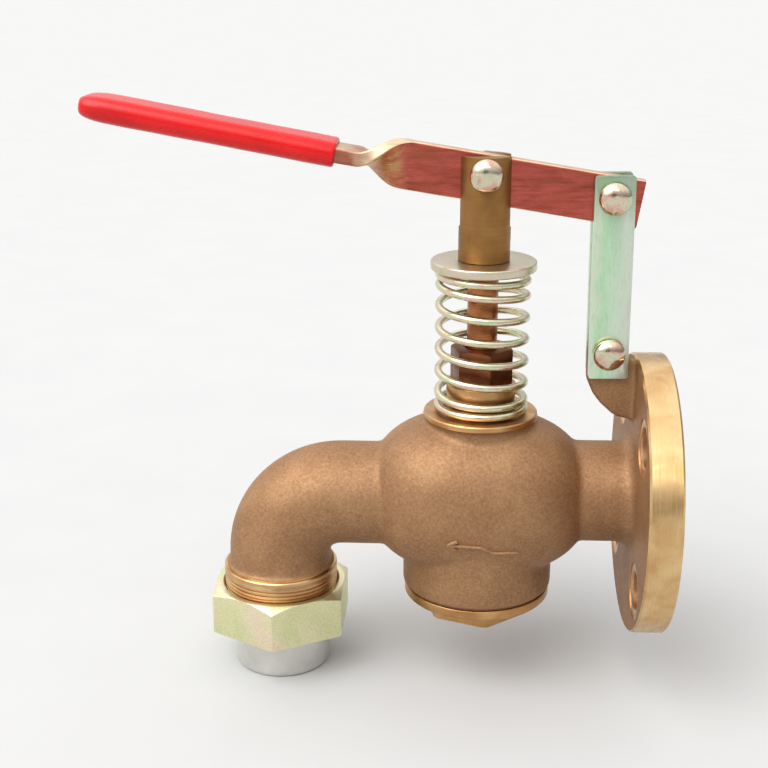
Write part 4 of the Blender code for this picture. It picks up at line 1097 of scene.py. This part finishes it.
def bar_section(centre, slope, width, thickness, corner, turn, steps=5):
    """Rounded oblong across the lever; turn 0 stands on edge, a quarter turn lies flat."""
    upright = Vector((math.sin(slope), 0.0, math.cos(slope)))
    sideways = Vector((0.0, 1.0, 0.0))
    wide = upright * math.cos(turn) + sideways * math.sin(turn)
    thin = sideways * math.cos(turn) - upright * math.sin(turn)
    section = []
    for quarter in range(4):
        corner_w = (width / 2.0 - corner) * (1.0 if quarter in (0, 3) else -1.0)
        corner_t = (thickness / 2.0 - corner) * (1.0 if quarter in (0, 1) else -1.0)
        for step in range(steps + 1):
            angle = math.radians(90.0 * (quarter + step / steps))
            along_w = corner_w + corner * math.cos(angle)
            along_t = corner_t + corner * math.sin(angle)
            section.append(centre + wide * along_w + thin * along_t)
    return section


def build_lever():
    right = high("lever").x - 1.8 * MM
    twist_start = -125.0 * MM
    twist_end = -152.0 * MM
    quarter = math.radians(-90.0)
    stations = [(right, 0.0, 0.94), (right - 0.4 * MM, 0.0, 0.985), (right - 0.9 * MM, 0.0, 1.0)]
    for step in range(1, 12):
        stations.append((right + (twist_start - right) * step / 12, 0.0, 1.0))
    twist_steps = 40
    for step in range(twist_steps + 1):
        share = step / twist_steps
        ease = share * share * (3.0 - 2.0 * share)
        stations.append((twist_start + (twist_end - twist_start) * share, ease * quarter, 1.0))
    left = low("lever").x + 0.8 * MM
    for step in range(1, 13):
        stations.append((twist_end + (left - twist_end) * step / 12, quarter, 1.0))
    sections = []
    for x, turn, scale in stations:
        slope = GRIP_SLOPE if x < -161.5 * MM else LEVER_SLOPE
        width = LEVER_WIDTH - LEVER_THICKNESS * (1.0 - scale)
        thickness = LEVER_THICKNESS * scale
        sections.append(bar_section(lever_centre(x), slope, width, thickness, 1.1 * MM, turn))
    lever = as_object("lever_bar", swept(sections), [LEVER_FILM_AND_PAINTED_LIGHT, LEVER_EDGE_FILM_AND_PAINTED_LIGHT], 50.0)
    # the edges take the edge material: painted highlight where they face up, painted shade where they face the
    # front
    around = len(sections[0])
    for index, polygon in enumerate(lever.data.polygons):
        strip = index % around
        if strip % 12 in (0, 1, 2, 8, 9, 10, 11) or index >= around * (len(sections) - 1):
            polygon.material_index = 1
    combine(lever, rod(5.3 * MM, -15.0 * MM, 15.0 * MM, FORK_PIN, FINE_AROUND, "Y"), slot=1)
    combine(lever, rod(5.8 * MM, -15.0 * MM, 15.0 * MM, LINK_PIN, FINE_AROUND, "Y"), slot=1)
    shade(lever.data, 50.0)
    show(lever, "lever_group", "lever", "lever")


def build_grip():
    """Dipped sleeve: a soft oblong with a domed end and a plump rim at its mouth."""
    mouth = -161.5 * MM
    tip = low("grip").x + 0.4 * MM
    length = mouth - tip
    width = 27.0 * MM
    thickness = 12.0 * MM
    flat = math.radians(90.0)
    dome = 15.0 * MM
    sections = []
    dome_steps = 14
    for step in range(dome_steps + 1):
        angle = math.radians(4.0 + 86.0 * step / dome_steps)
        x = tip + dome * (1.0 - math.cos(angle)) ** 1.25
        swell = math.sin(angle) ** 0.6
        grow = math.sin(angle) ** 0.75
        sections.append((x, width * (0.30 + 0.70 * swell), thickness * (0.22 + 0.78 * grow)))
    body_steps = 40
    for step in range(1, body_steps + 1):
        share = step / body_steps
        x = tip + dome + (length - dome - 2.0 * MM) * share
        wave = 0.12 * MM * math.sin(share * 9.0) + 0.08 * MM * math.sin(share * 23.0)
        sections.append((x, width + wave, thickness + wave))
    sections.append((mouth - 1.0 * MM, width - 0.1 * MM, thickness - 0.1 * MM))
    sections.append((mouth - 0.3 * MM, width - 0.5 * MM, thickness - 0.5 * MM))
    sections.append((mouth, width - 1.5 * MM, thickness - 1.5 * MM))
    sections.append((mouth, LEVER_WIDTH + 1.6 * MM, LEVER_THICKNESS + 1.6 * MM))
    sections.append((mouth - 0.5 * MM, LEVER_WIDTH + 0.6 * MM, LEVER_THICKNESS + 0.6 * MM))
    sections.append((low("lever").x - 0.4 * MM, LEVER_WIDTH + 0.6 * MM, LEVER_THICKNESS + 0.6 * MM))
    rings = []
    for x, wide, thick in sections:
        inner = wide < LEVER_WIDTH + 2.0 * MM and thick < LEVER_THICKNESS + 2.0 * MM and x > tip + dome
        corner = 1.3 * MM if inner else 0.49 * thick
        rings.append(bar_section(lever_centre(x), GRIP_SLOPE, wide, thick, corner, flat, 8))
    grip = as_object("grip_sleeve", swept(rings), [RED], 45.0)
    show(grip, "lever_group", "grip", "grip")


# ---------------------------------------------------------------- cap and union

def hexagon_nut(profile, centre, radius, turn, material, name, bevel):
    """Turned blank cut to a hexagon, which leaves curved chamfers on its corners."""
    nut = as_object(name, turned(profile, centre, 128), [material])
    levels = [z for _, z in profile]
    bar = rod(radius, min(levels) - MM, max(levels) + MM, centre, 6, "Z", turn)
    combine(nut, bar, "INTERSECT")
    soften(nut, bevel, 3, 25.0)
    return nut


def build_cap():
    top = high("bottom_cap").z
    bottom = low("bottom_cap").z
    ring_radius = (high("bottom_cap").y - low("bottom_cap").y) / 2.0
    ring_top = -50.4 * MM
    ring_bottom = -55.5 * MM
    spigot = 30.7 * MM
    edge = 0.8 * MM
    profile = [
        (0.0, -52.0 * MM), (23.0 * MM, -52.0 * MM), (23.0 * MM, top),
        (spigot - MM, top), (spigot, top - MM),
        (spigot, ring_top), (ring_radius - 0.3 * MM, ring_top), (ring_radius, ring_top - 0.3 * MM),
        (ring_radius, ring_bottom + edge), (ring_radius - edge, ring_bottom), (0.0, ring_bottom),
    ]
    ring = as_object("cap_ring", turned(profile, STEM_AXIS, 128), [CAP_BRONZE])
    soften(ring, 0.2 * MM, 2)
    show(ring, "valve_body", "bottom_cap", "bottom_cap")
    radius = 27.75 * MM
    hex_top = ring_bottom + MM
    blank = [(0.0, bottom), (radius - 0.8 * MM, bottom), (radius + 0.2 * MM, bottom + MM)]
    blank += [(radius + 0.2 * MM, hex_top), (0.0, hex_top)]
    head = hexagon_nut(blank, STEM_AXIS, radius, math.radians(-81.0), CAP_BRONZE, "cap_hexagon", 0.5 * MM)
    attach(head, "valve_body")


def build_union():
    top = high("union_nut").z
    bottom = low("union_nut").z
    shoulder = -71.6 * MM
    radius = 38.0 * MM
    flat = radius * math.cos(math.radians(30.0))
    wide = radius + MM
    drop = (wide - flat) * math.tan(math.radians(30.0))
    bore = THREAD_RADIUS + 0.3 * MM
    low_bore = 25.1 * MM
    profile = [
        (radius - 0.7 * MM, bottom), (wide, bottom + MM), (wide, top - drop), (flat, top),
        (bore + 0.9 * MM, top),
        (bore, top - 0.9 * MM), (bore, shoulder), (low_bore, shoulder), (low_bore, bottom + 0.6 * MM),
        (low_bore + 0.6 * MM, bottom),
    ]
    turn = math.radians(-91.0)
    nut = hexagon_nut(profile, OUTLET_AXIS, radius, turn, NUT_FILM, "union_hexagon", 0.9 * MM)
    show(nut, "union_nut_group", "union_nut", "union_nut")
    tail_bottom = low("tailpiece").z
    tail_top = high("tailpiece").z
    tail_radius = 24.6 * MM
    flange_radius = (high("tailpiece").x - low("tailpiece").x) / 2.0
    edge = 1.1 * MM
    tail = [
        (flange_radius, tail_top), (BORE_RADIUS, tail_top), (BORE_RADIUS, tail_bottom + 0.4 * MM),
        (BORE_RADIUS + 0.4 * MM, tail_bottom), (tail_radius - edge, tail_bottom),
        (tail_radius - 0.25 * MM, tail_bottom + 0.8 * edge), (tail_radius, tail_bottom + 1.8 * edge),
        (tail_radius, -71.3 * MM), (flange_radius, -71.3 * MM),
    ]
    tailpiece = as_object("tail_tube", turned(tail, OUTLET_AXIS, 128), [STEEL])
    show(tailpiece, "valve_body", "tailpiece", "tailpiece")


def finish_hidden_nodes():
    """Inner pieces keep their CAD shape and get a real finish."""
    finishes = {"seat_ring": TRIM, "valve_disc": TRIM, "disc_nut": TRIM, "stem_bush": TRIM, "gland_follower": TRIM,
                "cap_gasket": CAP_FIBRE, "union_gasket": FIBRE,
                "packing_ring_1": FIBRE, "packing_ring_2": FIBRE, "packing_ring_3": FIBRE}
    for node, material in finishes.items():
        piece = frame["nodes"][node]
        for slot in piece.material_slots:
            slot.material = material


# ---------------------------------------------------------------- stage

def build_stage():
    floor_z = low("tailpiece").z - 0.3 * MM
    builder = bmesh.new()
    bmesh.ops.create_grid(builder, x_segments=1, y_segments=1, size=40.0)
    bmesh.ops.translate(builder, verts=builder.verts, vec=(0.0, 0.0, floor_z))
    paper = Finish("floor_paper", 0.0, 0.95)
    fibre = paper.noise(60.0 * MM, 2.0)
    paper.set(colour=paper.ramp(fibre, (0.3, 184, 184, 184), (0.7, 186, 186, 185)), specular=0.0)
    floor = as_object("floor", builder, [paper.material])


def build_light():
    """Light tent painted on the world: bright overhead and to the left, with round panels.

    A panel is its azimuth from the front, elevation, spread, soft edge and power.
    """
    world = bpy.data.worlds.new("studio")
    bpy.context.scene.world = world
    world.use_nodes = True
    tent = Nodes(world.node_tree)
    direction = tent.add("ShaderNodeTexCoord").outputs["Generated"]
    parts = tent.parts(direction)
    soft = "SMOOTHSTEP"
    light = tent.span(parts["Z"], 0.0, 0.8, 0.22, 1.25, soft)
    light = tent.maths("ADD", light, tent.span(parts["X"], 0.8, -0.8, 0.0, 0.5, soft))
    light = tent.maths("ADD", light, tent.span(parts["Z"], 0.1, 0.04, 0.0, 0.5, soft))
    key = (-45.0, 50.0, 18.0, 16.0, 3.8)
    rim_highlight = (9.0, 37.0, 4.0, 5.0, 2.2)
    dark_opening = (-3.0, 9.0, 7.0, 5.0, -0.45)
    for azimuth, elevation, spread, edge, power in (key, rim_highlight, dark_opening):
        turn = math.radians(azimuth)
        rise = math.radians(elevation)
        dot = tent.add("ShaderNodeVectorMath")
        dot.operation = "DOT_PRODUCT"
        tent.feed(dot.inputs[0], direction)
        aim = (math.sin(turn) * math.cos(rise), -math.cos(turn) * math.cos(rise), math.sin(rise))
        dot.inputs[1].default_value = aim
        outer = math.cos(math.radians(spread + edge))
        inner = math.cos(math.radians(spread))
        light = tent.maths("ADD", light, tent.span(dot.outputs["Value"], outer, inner, 0.0, power, soft))
    background = world.node_tree.nodes["Background"]
    tent.feed(background.inputs["Color"], tent.maths("MAXIMUM", light, 0.02))
    background.inputs["Strength"].default_value = 1.0


def build_camera():
    data = bpy.data.cameras.new("camera")
    data.lens = 61.3
    data.sensor_width = 36.0
    data.clip_start = 0.01
    camera = bpy.data.objects.new("camera", data)
    camera.location = (-0.110829, -0.614407, 0.256442)
    camera.rotation_euler = (math.radians(71.849), 0.0, math.radians(2.633))
    bpy.context.scene.collection.objects.link(camera)
    bpy.context.scene.camera = camera


# ---------------------------------------------------------------- build

build_body()
build_flow_arrow()
build_stem()
build_gland_nut()
build_spring()
build_spring_washer()
build_fork()
build_pin("fork_pin", FORK_PIN, "stem_group")
build_pin("link_pin", LINK_PIN, "link_group")
build_pin("lug_pin", LUG_PIN, "valve_body")
build_links()
build_lever()
build_grip()
build_cap()
build_union()
finish_hidden_nodes()
build_stage()
build_light()
build_camera()
bpy.context.scene.view_settings.view_transform = "Standard"
